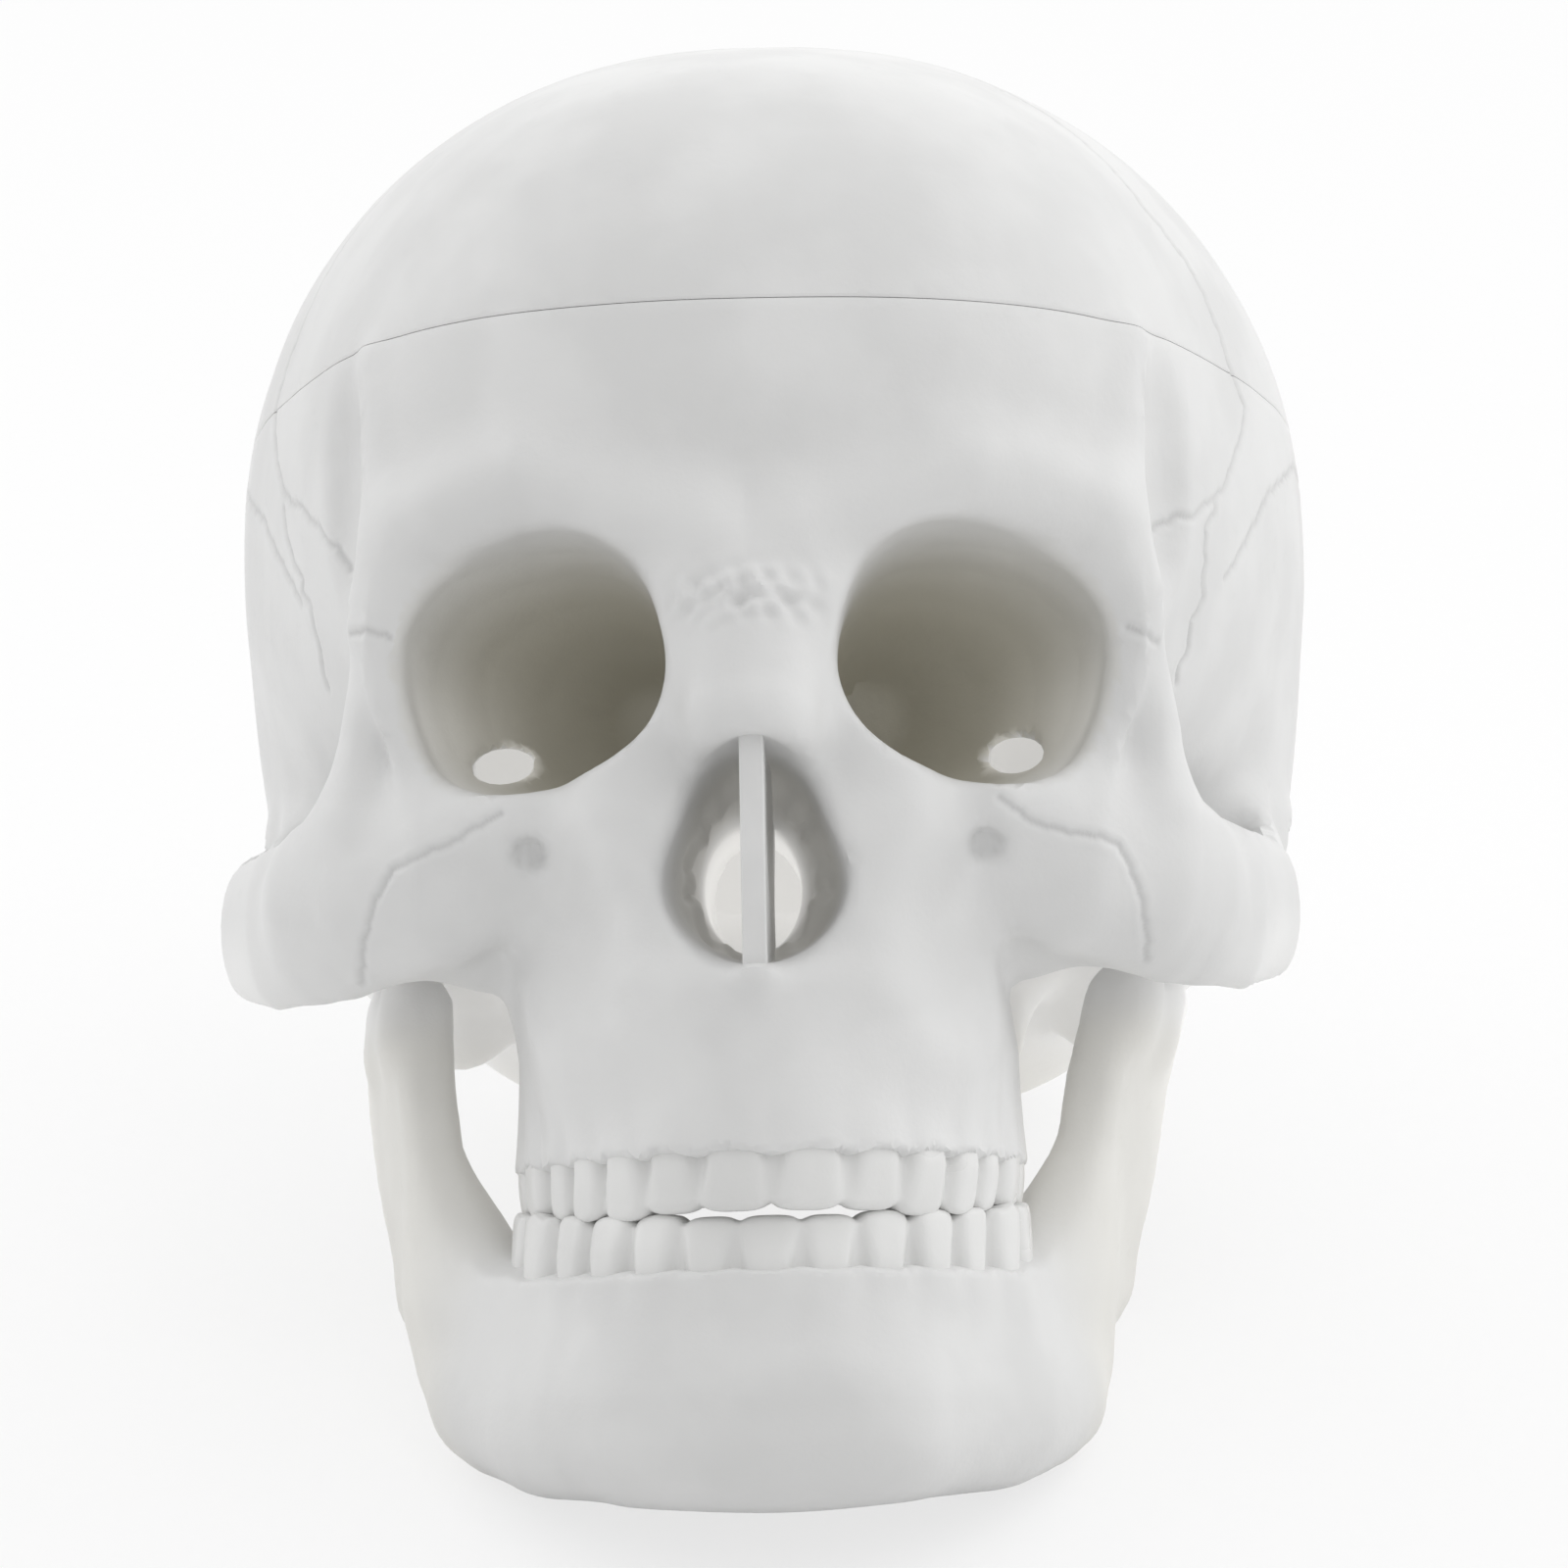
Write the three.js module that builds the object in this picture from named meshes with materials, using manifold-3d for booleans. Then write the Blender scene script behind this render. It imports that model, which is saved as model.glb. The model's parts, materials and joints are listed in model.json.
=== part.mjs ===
// Human skull model, life size, in moulded white plastic: a lift-off skull cap on
// three pegs with two hook latches, the base with the face, a nasal septum plate,
// two rows of teeth, and a lower jaw hung on its condyles and held by two springs.
//
// The bones are written as distance functions in the skull's own frame, in
// millimetres: x to the side, y back from the ear holes, z up from the plane
// through the ear holes and the lower rims of the eye sockets. The right half is
// written and the left mirrors it. The finished skull is then tilted back until it
// rests on its lower jaw and the back of its head.

import * as THREE from 'three';
import { edgeTable, triTable } from 'three/addons/objects/MarchingCubes.js';
import { mergeVertices } from 'three/addons/utils/BufferGeometryUtils.js';
import Module from 'manifold-3d';

const wasm = await Module();
wasm.setup();

// Braincase
const CRANIUM_LENGTH = 182;
const CRANIUM_BREADTH = 149;
const VAULT_HEIGHT = 112;
const BASE_DEPTH = 27;
const FOREHEAD_Y = -95;
const FOREHEAD_BREADTH = 112;
const FOREHEAD_DEPTH = 53;
const OCCIPUT_DEPTH = 75;
const VAULT_WALL = 5.5;
const CUT_HEIGHT = 58.5;
const FORAMEN_LENGTH = 36;
const FORAMEN_WIDTH = 30;

// Face
const ORBIT_WIDTH = 35.5;
const ORBIT_HEIGHT = 31.5;
const ORBIT_SPACING = 57.6;
const ORBIT_DEPTH = 44;
const ORBIT_WALL = 3.5;
const FISSURE_RADIUS = 3.6;
const NASAL_WIDTH = 22.5;
const NASAL_TOP_Z = 2.3;
const NASAL_FLOOR_Z = -24.5;
const SEPTUM_THICKNESS = 3;
const SEPTUM_DEPTH = 36;
const FACE_BREADTH = 143;
const CHEEK_ARCH_HALF_THICKNESS = 4;
const PALATE_DEPTH = 10;

// Teeth, one entry for each tooth from the middle back
const UPPER_GUM_Z = -47.9;
const LOWER_GUM_Z = -61.3;
const BITE_GAP = 0.9;
const BITE_Z = -54.7;
const UPPER_ARCH = { halfWidth: 28.2, depth: 43.5, backY: -50 };
const LOWER_ARCH = { halfWidth: 29.2, depth: 41.5, backY: -50 };
const UPPER_TEETH = [
  { width: 8.2, neck: 6.8, edge: 2.6 },
  { width: 7.3, neck: 6.4, edge: 2.6 },
  { width: 7.2, neck: 7.6, edge: 4.2 },
  { width: 6.8, neck: 8.6, edge: 6.8 },
  { width: 6.6, neck: 8.8, edge: 7.0 },
  { width: 9.6, neck: 10.4, edge: 8.8 },
  { width: 8.8, neck: 10.2, edge: 8.6 },
];
const LOWER_TEETH = [
  { width: 6.0, neck: 6.4, edge: 2.6 },
  { width: 6.4, neck: 6.4, edge: 2.8 },
  { width: 7.0, neck: 7.4, edge: 4.0 },
  { width: 7.0, neck: 8.0, edge: 6.4 },
  { width: 7.2, neck: 8.4, edge: 7.0 },
  { width: 10.2, neck: 10.0, edge: 8.8 },
  { width: 9.6, neck: 9.8, edge: 8.6 },
];
const ROOT_HIDDEN = 2;
const ALVEOLAR_HALF_THICKNESS = 5.6;

// Lower jaw and its hinge
const CONDYLE = new THREE.Vector3(50, -12, -6);
const CONDYLE_RADIUS = 5;
const CONDYLE_HALF_WIDTH = 9.5;
const CONDYLE_CLEARANCE = 1;
const CHIN_Z = -86.9;
const RAMUS_THICKNESS = 7.5;
const JAW_OPENING = THREE.MathUtils.degToRad(25);

// Fastenings and fits
const FIT = 0.3;
const SEAM = 0.3;
const PEG_RADIUS = 1;
const PEG_IN_BASE = 4;
const PEG_IN_CAP = 2;
const BACK_PEG_BEARING = THREE.MathUtils.degToRad(148);
const SCREW_RADIUS = 1.2;
const SCREW_GRIP = 4;
const SCREW_HEAD_OVERHANG = 1.3;
const SCREW_HEAD_HEIGHT = 1.5;
const HOOK_Y = 36;
const HOOK_REACH = 15;
const HOOK_THICKNESS = 1;
const HOOK_HALF_WIDTH = 3.2;
const SPRING_RADIUS = 2.2;
const SPRING_LOOP_RADIUS = 1.9;
const SPRING_WIRE_RADIUS = 0.45;
const SPRING_PITCH = 1.4;
const SPRING_TURNS = 6;
const SPRING_UPPER = { y: -30, z: -1 };
const SPRING_LOWER = { y: -35, z: -16 };
const SPRING_STAND = 3.4;
const SPRING_HEAD_ROOM = 1.2;
const SPRING_SCREW_RADIUS = 1;
const FOOT_DEPTH = 0.6;

// Fineness of the faceted skin
const BONE_CELL = 2.6;
const TOOTH_CELL = 1.15;
const BASE_AND_CAP_FACES = 6400;
const JAW_FACES = 1600;
const TOOTH_ROW_FACES = 850;

const { clamp, lerp } = THREE.MathUtils;

// Farther than any point of the skull.
const WIDE = 300;

// Distance forms: each maker returns a function of x, y, z that is negative inside

// An ellipsoid, or a boxier body where the power is above 2.
function ball([cx, cy, cz], [rx, ry, rz], power = 2) {
  return (x, y, z) => {
    const u = Math.abs(x - cx) / rx;
    const v = Math.abs(y - cy) / ry;
    const w = Math.abs(z - cz) / rz;
    const reach = (u ** power + v ** power + w ** power) ** (1 / power);
    if (reach < 1e-3) return -Math.min(rx, ry, rz);
    const p = power - 1;
    const slope = Math.hypot(u ** p / rx, v ** p / ry, w ** p / rz) / reach ** p;
    return (reach - 1) / slope;
  };
}

// A straight tapering limb with round ends, drawn out along the axes by stretch.
function limb(from, fromRadius, to, toRadius, stretch = [1, 1, 1]) {
  const [sx, sy, sz] = stretch;
  const ax = (to[0] - from[0]) / sx;
  const ay = (to[1] - from[1]) / sy;
  const az = (to[2] - from[2]) / sz;
  const square = ax * ax + ay * ay + az * az;
  return (x, y, z) => {
    const px = (x - from[0]) / sx;
    const py = (y - from[1]) / sy;
    const pz = (z - from[2]) / sz;
    const t = clamp((px * ax + py * ay + pz * az) / square, 0, 1);
    const dx = px - ax * t;
    const dy = py - ay * t;
    const dz = pz - az * t;
    const away = Math.hypot(dx, dy, dz) + 1e-9;
    const slope = Math.hypot(dx / sx, dy / sy, dz / sz) / away + 1e-9;
    return (away - lerp(fromRadius, toRadius, t)) / slope;
  };
}

// Limbs strung through points [x, y, z, radius].
function chain(points, stretch) {
  const limbs = points.slice(1).map((point, i) =>
    limb(points[i], points[i][3], point, point[3], stretch));
  return (x, y, z) => limbs.reduce((least, form) => Math.min(least, form(x, y, z)), Infinity);
}

// A passage running back through stations [y, x, z, half width, half height].
function passage(stations, power = 2, tilt = 0) {
  const c = Math.cos(tilt);
  const s = Math.sin(tilt);
  const last = stations.length - 1;
  return (x, y, z) => {
    let i = 0;
    while (i < last - 1 && y > stations[i + 1][0]) i += 1;
    const [a, b] = [stations[i], stations[i + 1]];
    const t = clamp((y - a[0]) / (b[0] - a[0]), 0, 1);
    const [, cx, cz, width, height] = a.map((value, k) => lerp(value, b[k], t));
    const u = Math.abs((x - cx) * c - (z - cz) * s) / width;
    const w = Math.abs((x - cx) * s + (z - cz) * c) / height;
    const reach = (u ** power + w ** power) ** (1 / power) + 1e-6;
    const p = power - 1;
    const slope = Math.hypot(u ** p / width, w ** p / height) / reach ** p + 1e-9;
    return Math.max((reach - 1) / slope, stations[0][0] - y, y - stations[last][0]);
  };
}

// The half space behind a plane through a point.
function behind([nx, ny, nz], [px, py, pz]) {
  const size = Math.hypot(nx, ny, nz);
  return (x, y, z) => (nx * (x - px) + ny * (y - py) + nz * (z - pz)) / size;
}

function softMin(a, b, blend) {
  const h = Math.max(blend - Math.abs(a - b), 0) / blend;
  return Math.min(a, b) - h * h * blend / 4;
}

function join(blend, ...forms) {
  return (x, y, z) => forms.reduce(
    (sum, form) => softMin(sum, form(x, y, z), blend), 1e6);
}

function carve(blend, body, ...tools) {
  return (x, y, z) => tools.reduce(
    (rest, tool) => -softMin(-rest, tool(x, y, z), blend), body(x, y, z));
}

function within(blend, body, ...bounds) {
  return (x, y, z) => bounds.reduce(
    (rest, bound) => -softMin(-rest, -bound(x, y, z), blend), body(x, y, z));
}

function grown(form, by) {
  return (x, y, z) => form(x, y, z) - by;
}

// A wall that follows half an ellipse seen from above, between two heights.
function archWall(arch, halfThickness, low, high, backY) {
  const curve = (x, y) => {
    const u = x / arch.halfWidth;
    const v = (y - arch.backY) / arch.depth;
    const front = v < 0 ? v : 0;
    const reach = Math.hypot(u, front) + 1e-6;
    const slope = Math.hypot(u / arch.halfWidth, front / arch.depth) / reach;
    return (reach - 1) / slope;
  };
  return within(4,
    (x, y) => Math.abs(curve(x, y)) - halfThickness,
    (x, y, z) => low - z,
    (x, y, z) => z - high,
    (x, y) => y - backY);
}

// Braincase: an egg of two joined balls, drawn in under the forehead

const rearCentre = [
  0,
  FOREHEAD_Y + CRANIUM_LENGTH - OCCIPUT_DEPTH,
  (VAULT_HEIGHT - BASE_DEPTH) / 2,
];
const rearHeight = (VAULT_HEIGHT + BASE_DEPTH) / 2;
const frontCentre = [0, FOREHEAD_Y + FOREHEAD_DEPTH, rearCentre[2] + 1.5];
const FRONT_LOWER_THAN_REAR = 15;
const FRONTAL_SLOPE_START = [0, -38, -8];
const FRONTAL_SLOPE = [0, -0.632, -0.775];

const sidewall = CRANIUM_BREADTH / 2;
const braincase = within(9,
  join(10,
    join(26,
      ball(rearCentre, [sidewall, OCCIPUT_DEPTH, rearHeight], 2.2),
      ball(frontCentre, [FOREHEAD_BREADTH / 2, FOREHEAD_DEPTH, rearHeight - FRONT_LOWER_THAN_REAR], 2.3),
      ball([20, rearCentre[1] + 30, -5], [30, 30, 25])),
    ball([sidewall - 22, rearCentre[1] + 2, rearCentre[2] - 32], [18, 30, 26])),
  behind(FRONTAL_SLOPE, FRONTAL_SLOPE_START));
const cavity = grown(braincase, -VAULT_WALL);

// Eye sockets and nose

const orbitX = ORBIT_SPACING / 2;
const ORBIT_Z = 14.9;
const ORBIT_FRONT_Y = -88;
const ORBIT_TILT = THREE.MathUtils.degToRad(14);
const orbitBack = ORBIT_FRONT_Y + ORBIT_DEPTH;
const orbit = passage([
  [ORBIT_FRONT_Y - 14, orbitX, ORBIT_Z, ORBIT_WIDTH / 2 + 0.5, ORBIT_HEIGHT / 2],
  [ORBIT_FRONT_Y, orbitX, ORBIT_Z, ORBIT_WIDTH / 2, ORBIT_HEIGHT / 2],
  [ORBIT_FRONT_Y + 14, orbitX - 3.5, ORBIT_Z - 0.5, ORBIT_WIDTH / 2 - 1, ORBIT_HEIGHT / 2 - 1],
  [orbitBack, orbitX - 15, ORBIT_Z - 2, 4.5, 4.5],
], 2.4, ORBIT_TILT);
const orbitHousing = passage([
  [ORBIT_FRONT_Y + 8, orbitX - 1, ORBIT_Z,
    ORBIT_WIDTH / 2 + ORBIT_WALL, ORBIT_HEIGHT / 2 + ORBIT_WALL],
  [ORBIT_FRONT_Y + 16, orbitX - 4, ORBIT_Z - 0.5,
    ORBIT_WIDTH / 2 + ORBIT_WALL - 1.5, ORBIT_HEIGHT / 2 + ORBIT_WALL - 1.5],
  [orbitBack + 4, orbitX - 16, ORBIT_Z - 2, 5 + ORBIT_WALL, 5 + ORBIT_WALL],
], 2.4, ORBIT_TILT);
const orbitalFissure = limb(
  [orbitX + 3, orbitBack - 18, ORBIT_Z - 11], FISSURE_RADIUS,
  [orbitX + 4, orbitBack + 18, ORBIT_Z - 6], FISSURE_RADIUS, [1.25, 1, 1]);

const nasalTopRadius = 3.8;
const nasalRadius = NASAL_WIDTH / 2;
const nasalTop = [0, NASAL_TOP_Z - nasalTopRadius];
const nasalFloor = [0, NASAL_FLOOR_Z + nasalRadius];
const CHOANA = { y: -38, halfWidth: 7.5, halfHeight: 8.5, z: -9.5 };
const NASAL_FRONT_Y = -112;
const NASAL_TAPER_Y = -88;
const nasalPassage = (x, y, z) => {
  const back = clamp((y - NASAL_TAPER_Y) / (CHOANA.y - NASAL_TAPER_Y), 0, 1);
  const span = nasalTop[1] - nasalFloor[1];
  const t = clamp((nasalTop[1] - z) / span, 0, 1);
  const pear = Math.hypot(x, z - lerp(nasalTop[1], nasalFloor[1], t))
    - lerp(nasalTopRadius, nasalRadius, t);
  const round = Math.hypot(x / CHOANA.halfWidth, (z - CHOANA.z) / CHOANA.halfHeight) - 1;
  const section = lerp(pear, round * CHOANA.halfWidth, back);
  return Math.max(section, NASAL_FRONT_Y - y, y - CHOANA.y - 6);
};

// Facial bones of one side, in the order in which they run down the face

const browRidge = chain([
  [7, -88.5, 31, 6.5],
  [27, -87.5, 37.5, 6],
  [43, -78.5, 34, 5.5],
  [49.8, -70.5, 24, 4.6],
]);
const templeLine = chain([
  [49.6, -70, 24, 4.2],
  [46.8, -74, 38, 3.4],
  [46.5, -71, 55, 1.5],
]);
const cheekbone = chain([
  [30, -78, -6, 7.5],
  [39, -74, -9, 8.5],
  [48, -67.5, -10, 8.6],
  [55, -60, -12, 6.5],
], [1, 1, 1.45]);
const archOuterX = FACE_BREADTH / 2 - CHEEK_ARCH_HALF_THICKNESS;
const EAR_X = CONDYLE.x + 12;
const cheekArch = chain([
  [52, -63, -12, CHEEK_ARCH_HALF_THICKNESS + 0.6],
  [archOuterX - 5.5, -50, -13.5, CHEEK_ARCH_HALF_THICKNESS + 0.3],
  [archOuterX, -37, -12.5, CHEEK_ARCH_HALF_THICKNESS - 0.4],
  [archOuterX - 1, -22, -7.5, CHEEK_ARCH_HALF_THICKNESS - 0.7],
  [EAR_X + 0.5, -8, 1, CHEEK_ARCH_HALF_THICKNESS - 0.2],
  [EAR_X + 1, 8, 7, CHEEK_ARCH_HALF_THICKNESS],
], [1, 1, 2.5]);
const cheekToBrow = limb([49.5, -67, -2], 5, [50, -69.5, 24], 4.4, [0.9, 1.35, 1]);
const cheekCrest = limb([45, -65, -14], 8, [31, -62, -20], 9);
const nasalBridge = limb([0, -84.5, 26], 9.6, [0, -92.5, 7], 7.8, [1.15, 1, 1]);
const maxillaHorn = limb([9, -84, 20], 7, [18, -82.5, -10], 8);
const ethmoid = ball([0, -70, 12], [12, 22, 20], 2.5);
const maxilla = ball([0, -65.5, -22], [32, 28.5, 27], 2.9);
const upperRidge = archWall(
  UPPER_ARCH, ALVEOLAR_HALF_THICKNESS, UPPER_GUM_Z - 2, -24, UPPER_ARCH.backY + 7);
const frontSpine = limb([0, -90, -27], 3.4, [0, -96.5, -25.5], 1.4);
const palate = ball(
  [0, -60, UPPER_GUM_Z + 1], [UPPER_ARCH.halfWidth - 8, 27, PALATE_DEPTH + 2], 2.6);

// Underside of the base

const clivus = limb([0, -46, 2], 11, [0, -2, -16], 9.5);
const pterygoid = limb([17, -41, -5], 1.9, [20.5, -38, -36], 1.7, [1, 3.6, 1]);
const mastoid = limb([EAR_X - 9, 8, -4], 12, [EAR_X - 17, 6, -21], 7);
const styloid = limb([37, -3, -16], 3.2, [34, -16, -43], 2.2);
const occipitalCondyle = ball([FORAMEN_WIDTH / 2 + 3, 4, -27], [6, 10, 7]);
const petrousRidge = limb([EAR_X, 0, 1], 9.5, [22, -8, -6], 8);
const inion = limb([-3, rearCentre[1] + 58, 6], 8, [3, rearCentre[1] + 58, 6], 8);
const foramenMagnum = ball([0, 15, -28], [FORAMEN_WIDTH / 2, FORAMEN_LENGTH / 2, 22], 2.4);
const earCanal = limb([EAR_X + 10, 1, 0], 4.2, [EAR_X - 10, 0, 1], 3.2);
const socketRoof = ball(
  [CONDYLE.x, CONDYLE.y + 1, CONDYLE.z + 6],
  [CONDYLE_HALF_WIDTH + 6, CONDYLE_RADIUS + 8, CONDYLE_RADIUS + 5], 2.4);

// Lower jaw

const condyleAt = CONDYLE.toArray();
const condyle = ball(condyleAt, [CONDYLE_HALF_WIDTH, CONDYLE_RADIUS, CONDYLE_RADIUS]);
const JAW_CORNER = [36.5, -49, -77];
const JAW_ANGLE = [43, -22, -63];
const jawBorder = chain([
  [0, -81, CHIN_Z + 6.8, 6.8],
  [17, -79, CHIN_Z + 6.8, 6.8],
  [28, -65, CHIN_Z + 7.2, 6.4],
  [...JAW_CORNER, 6],
  [...JAW_ANGLE, 4.6],
]);
const jawBody = chain([
  [0, -84.5, -73, 5.8],
  [15, -81.5, -73, 6],
  [26, -68, -72, 6],
  [33, -55, -69, 6],
  [39, -42, -62, 5.4],
], [1, 1, 2]);
const lowerRidge = archWall(
  LOWER_ARCH, ALVEOLAR_HALF_THICKNESS, -75, LOWER_GUM_Z + 2, LOWER_ARCH.backY + 7);
const chin = join(6,
  ball([0, -86, CHIN_Z + 6.5], [9, 6, 7]),
  ball([14, -83, CHIN_Z + 5.5], [7, 6, 5.5]));
const ramusMiddle = { x: 47, y: -30, z: -42 };
const RAMUS_HALF_DEPTH = 15.5;
const RAMUS_HALF_HEIGHT = 22;
const RAMUS_LEAN = 0.3;
const RAMUS_FLARE = 0.16;
const RAMUS_TOE = 0.16;
const RAMUS_EDGE_RADIUS = 3;
const ramusPlate = (x, y, z) => {
  const up = z - ramusMiddle.z;
  const along = y - ramusMiddle.y - up * RAMUS_LEAN;
  const across = x - ramusMiddle.x - up * RAMUS_FLARE - along * RAMUS_TOE;
  const beyond = (value, half) => Math.max(Math.abs(value) - half + RAMUS_EDGE_RADIUS, 0);
  return Math.hypot(
    beyond(along, RAMUS_HALF_DEPTH),
    beyond(up, RAMUS_HALF_HEIGHT),
    beyond(across, RAMUS_THICKNESS / 2)) - RAMUS_EDGE_RADIUS;
};
const coronoid = chain([
  [48, -34, -26, 4.2],
  [48.5, -37, -14, 2.6],
  [48.5, -38.5, -7, 1.5],
], [0.8, 1.7, 1]);
const condyleNeck = limb(
  [49, -20, -27], 4.6, [CONDYLE.x, CONDYLE.y - 1, CONDYLE.z - 3], 3.6, [1.1, 1.05, 1]);
const lowerJaw = carve(3,
  join(5,
    join(10, jawBorder, jawBody, lowerRidge, chin, ramusPlate),
    coronoid, condyleNeck, condyle),
  ball([0, -55, -64], [LOWER_ARCH.halfWidth - 9.5, 30, 30], 2.4));

// The jaw as it swings open, for the room that the base leaves it.
function sweptJaw(steps) {
  const swings = Array.from({ length: steps + 1 }, (_, i) => i / steps * JAW_OPENING)
    .map((angle) => [Math.cos(angle), Math.sin(angle)]);
  return (x, y, z) => {
    if (z > CONDYLE.z + 12 || x < CONDYLE.x - 18) return 1e6;
    const dy = y - CONDYLE.y;
    const dz = z - CONDYLE.z;
    return swings.reduce((least, [c, s]) => Math.min(least, lowerJaw(
      x, CONDYLE.y + dy * c + dz * s, CONDYLE.z + dz * c - dy * s)), Infinity);
  };
}

// The whole fixed skull, before the saw cut

const faceBones = join(7,
  browRidge, templeLine, cheekbone, cheekToBrow, cheekCrest, nasalBridge, maxillaHorn,
  ethmoid, maxilla, upperRidge, orbitHousing);
const underside = join(5, clivus, mastoid, occipitalCondyle, inion);
const shell = carve(1.5,
  join(6, braincase, faceBones, underside, cheekArch),
  cavity);
const fixedSkull = carve(1.5,
  carve(1,
    join(4, shell, petrousRidge, socketRoof, within(2, orbitHousing, grown(braincase, -1)),
      join(1.5, pterygoid, styloid, frontSpine)),
    orbit, nasalPassage, orbitalFissure, foramenMagnum, earCanal),
  carve(0.1, palate, (x, y, z) => UPPER_GUM_Z + PALATE_DEPTH - z),
  grown(sweptJaw(3), CONDYLE_CLEARANCE));

// Teeth: crowns stood along the arch, each tapering from its neck to its edge

function archSteps(arch, reach) {
  const steps = [{ x: 0, y: arch.backY - arch.depth, gone: 0 }];
  for (let i = 1; steps[i - 1].gone < reach; i += 1) {
    const turn = i * 0.01;
    const curved = Math.min(turn, Math.PI / 2);
    const x = arch.halfWidth * Math.sin(curved);
    const y = arch.backY - arch.depth * Math.cos(curved) + (turn - curved) * arch.depth;
    const before = steps[i - 1];
    steps.push({ x, y, gone: before.gone + Math.hypot(x - before.x, y - before.y) });
  }
  return steps;
}

function toothRow(arch, teeth, gumZ, edgeZ) {
  const reach = teeth.reduce((sum, tooth) => sum + tooth.width, 0);
  const steps = archSteps(arch, reach);
  const tall = Math.abs(edgeZ - gumZ);
  const down = Math.sign(edgeZ - gumZ);
  let gone = 0;
  const crowns = teeth.map((tooth) => {
    const i = steps.findIndex((step) => step.gone >= gone + tooth.width / 2);
    gone += tooth.width;
    const run = Math.hypot(steps[i].x - steps[i - 1].x, steps[i].y - steps[i - 1].y);
    const along = [(steps[i].x - steps[i - 1].x) / run, (steps[i].y - steps[i - 1].y) / run];
    const place = steps[i];
    return (x, y, z) => {
      const out = Math.abs(z - gumZ) * Math.sign((z - gumZ) * down) / tall;
      const t = clamp(out, 0, 1);
      const halfWidth = tooth.width / 2 * lerp(0.9, 1.03, Math.min(t * 1.6, 1));
      const halfDepth = lerp(tooth.neck, tooth.edge, t ** 1.5) / 2;
      const u = (x - place.x) * along[0] + (y - place.y) * along[1];
      const v = (x - place.x) * along[1] - (y - place.y) * along[0]
        - (tooth.neck - tooth.edge) * 0.2 * t;
      const section = ((Math.abs(u) / halfWidth) ** 3 + (Math.abs(v) / halfDepth) ** 3)
        ** (1 / 3) - 1;
      const crown = -softMin(
        -section * Math.min(halfWidth, halfDepth), -(out - 1) * tall, 1.6);
      return Math.max(crown, -out * tall - ROOT_HIDDEN);
    };
  });
  const band = archWall(
    arch, ALVEOLAR_HALF_THICKNESS - 2.4,
    Math.min(gumZ, gumZ + down * 3), Math.max(gumZ, gumZ + down * 3),
    arch.backY + 5);
  return (x, y, z) => softMin(
    crowns.reduce((least, crown) => softMin(least, crown(x, y, z), 0.5), 1e6),
    band(x, y, z), 0.6);
}

// Faceted skin of a form: the field is sampled in blocks, and the blocks that the
// surface can't reach are skipped.

const BLOCK = 4;

function sample(form, low, cell, counts) {
  const [nx, ny, nz] = counts;
  const values = new Float32Array(nx * ny * nz);
  const half = BLOCK / 2 * cell;
  const reach = Math.hypot(half, half, half) * 1.6 + cell;
  for (let k = 0; k < nz; k += BLOCK) {
    for (let j = 0; j < ny; j += BLOCK) {
      for (let i = 0; i < nx; i += BLOCK) {
        const middle = form(
          Math.abs(low[0] + i * cell + half), low[1] + j * cell + half, low[2] + k * cell + half);
        for (let c = k; c < Math.min(k + BLOCK, nz); c += 1) {
          for (let b = j; b < Math.min(j + BLOCK, ny); b += 1) {
            for (let a = i; a < Math.min(i + BLOCK, nx); a += 1) {
              values[a + nx * (b + ny * c)] = Math.abs(middle) > reach ? middle : form(
                Math.abs(low[0] + a * cell), low[1] + b * cell, low[2] + c * cell);
            }
          }
        }
      }
    }
  }
  return values;
}

// Corners and edges of a cell, in the order of the marching cubes tables.
const CORNERS = [
  [0, 0, 0], [1, 0, 0], [1, 1, 0], [0, 1, 0], [0, 0, 1], [1, 0, 1], [1, 1, 1], [0, 1, 1],
];
const EDGES = [
  [0, 1], [1, 2], [3, 2], [0, 3], [4, 5], [5, 6], [7, 6], [4, 7], [0, 4], [1, 5], [2, 6], [3, 7],
];
const SHORTEST_SHARE = 0.06;

function skin(form, low, high, cell) {
  const counts = low.map((value, axis) => Math.ceil((high[axis] - value) / cell) + 1);
  const [nx, ny, nz] = counts;
  const values = sample(form, low, cell, counts);
  const points = [];
  const faces = [];
  const known = new Map();
  const crossing = (i, j, k, edge) => {
    const [from, to] = EDGES[edge].map((corner) => CORNERS[corner]);
    const start = i + from[0] + nx * (j + from[1] + ny * (k + from[2]));
    const end = i + to[0] + nx * (j + to[1] + ny * (k + to[2]));
    const key = start * 4 + (to[0] - from[0]) + 2 * (to[1] - from[1]);
    if (!known.has(key)) {
      const share = values[start] / (values[start] - values[end]);
      const t = clamp(share, SHORTEST_SHARE, 1 - SHORTEST_SHARE);
      known.set(key, points.length / 3);
      points.push(
        low[0] + cell * (i + lerp(from[0], to[0], t)),
        low[1] + cell * (j + lerp(from[1], to[1], t)),
        low[2] + cell * (k + lerp(from[2], to[2], t)));
    }
    return known.get(key);
  };
  for (let k = 0; k < nz - 1; k += 1) {
    for (let j = 0; j < ny - 1; j += 1) {
      for (let i = 0; i < nx - 1; i += 1) {
        let state = 0;
        CORNERS.forEach(([a, b, c], bit) => {
          if (values[i + a + nx * (j + b + ny * (k + c))] < 0) state |= 1 << bit;
        });
        if (edgeTable[state] === 0) continue;
        for (let n = state * 16; triTable[n] >= 0; n += 3) {
          faces.push(
            crossing(i, j, k, triTable[n]),
            crossing(i, j, k, triTable[n + 2]),
            crossing(i, j, k, triTable[n + 1]));
        }
      }
    }
  }
  return { points: Float64Array.from(points), faces: Uint32Array.from(faces) };
}

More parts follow.
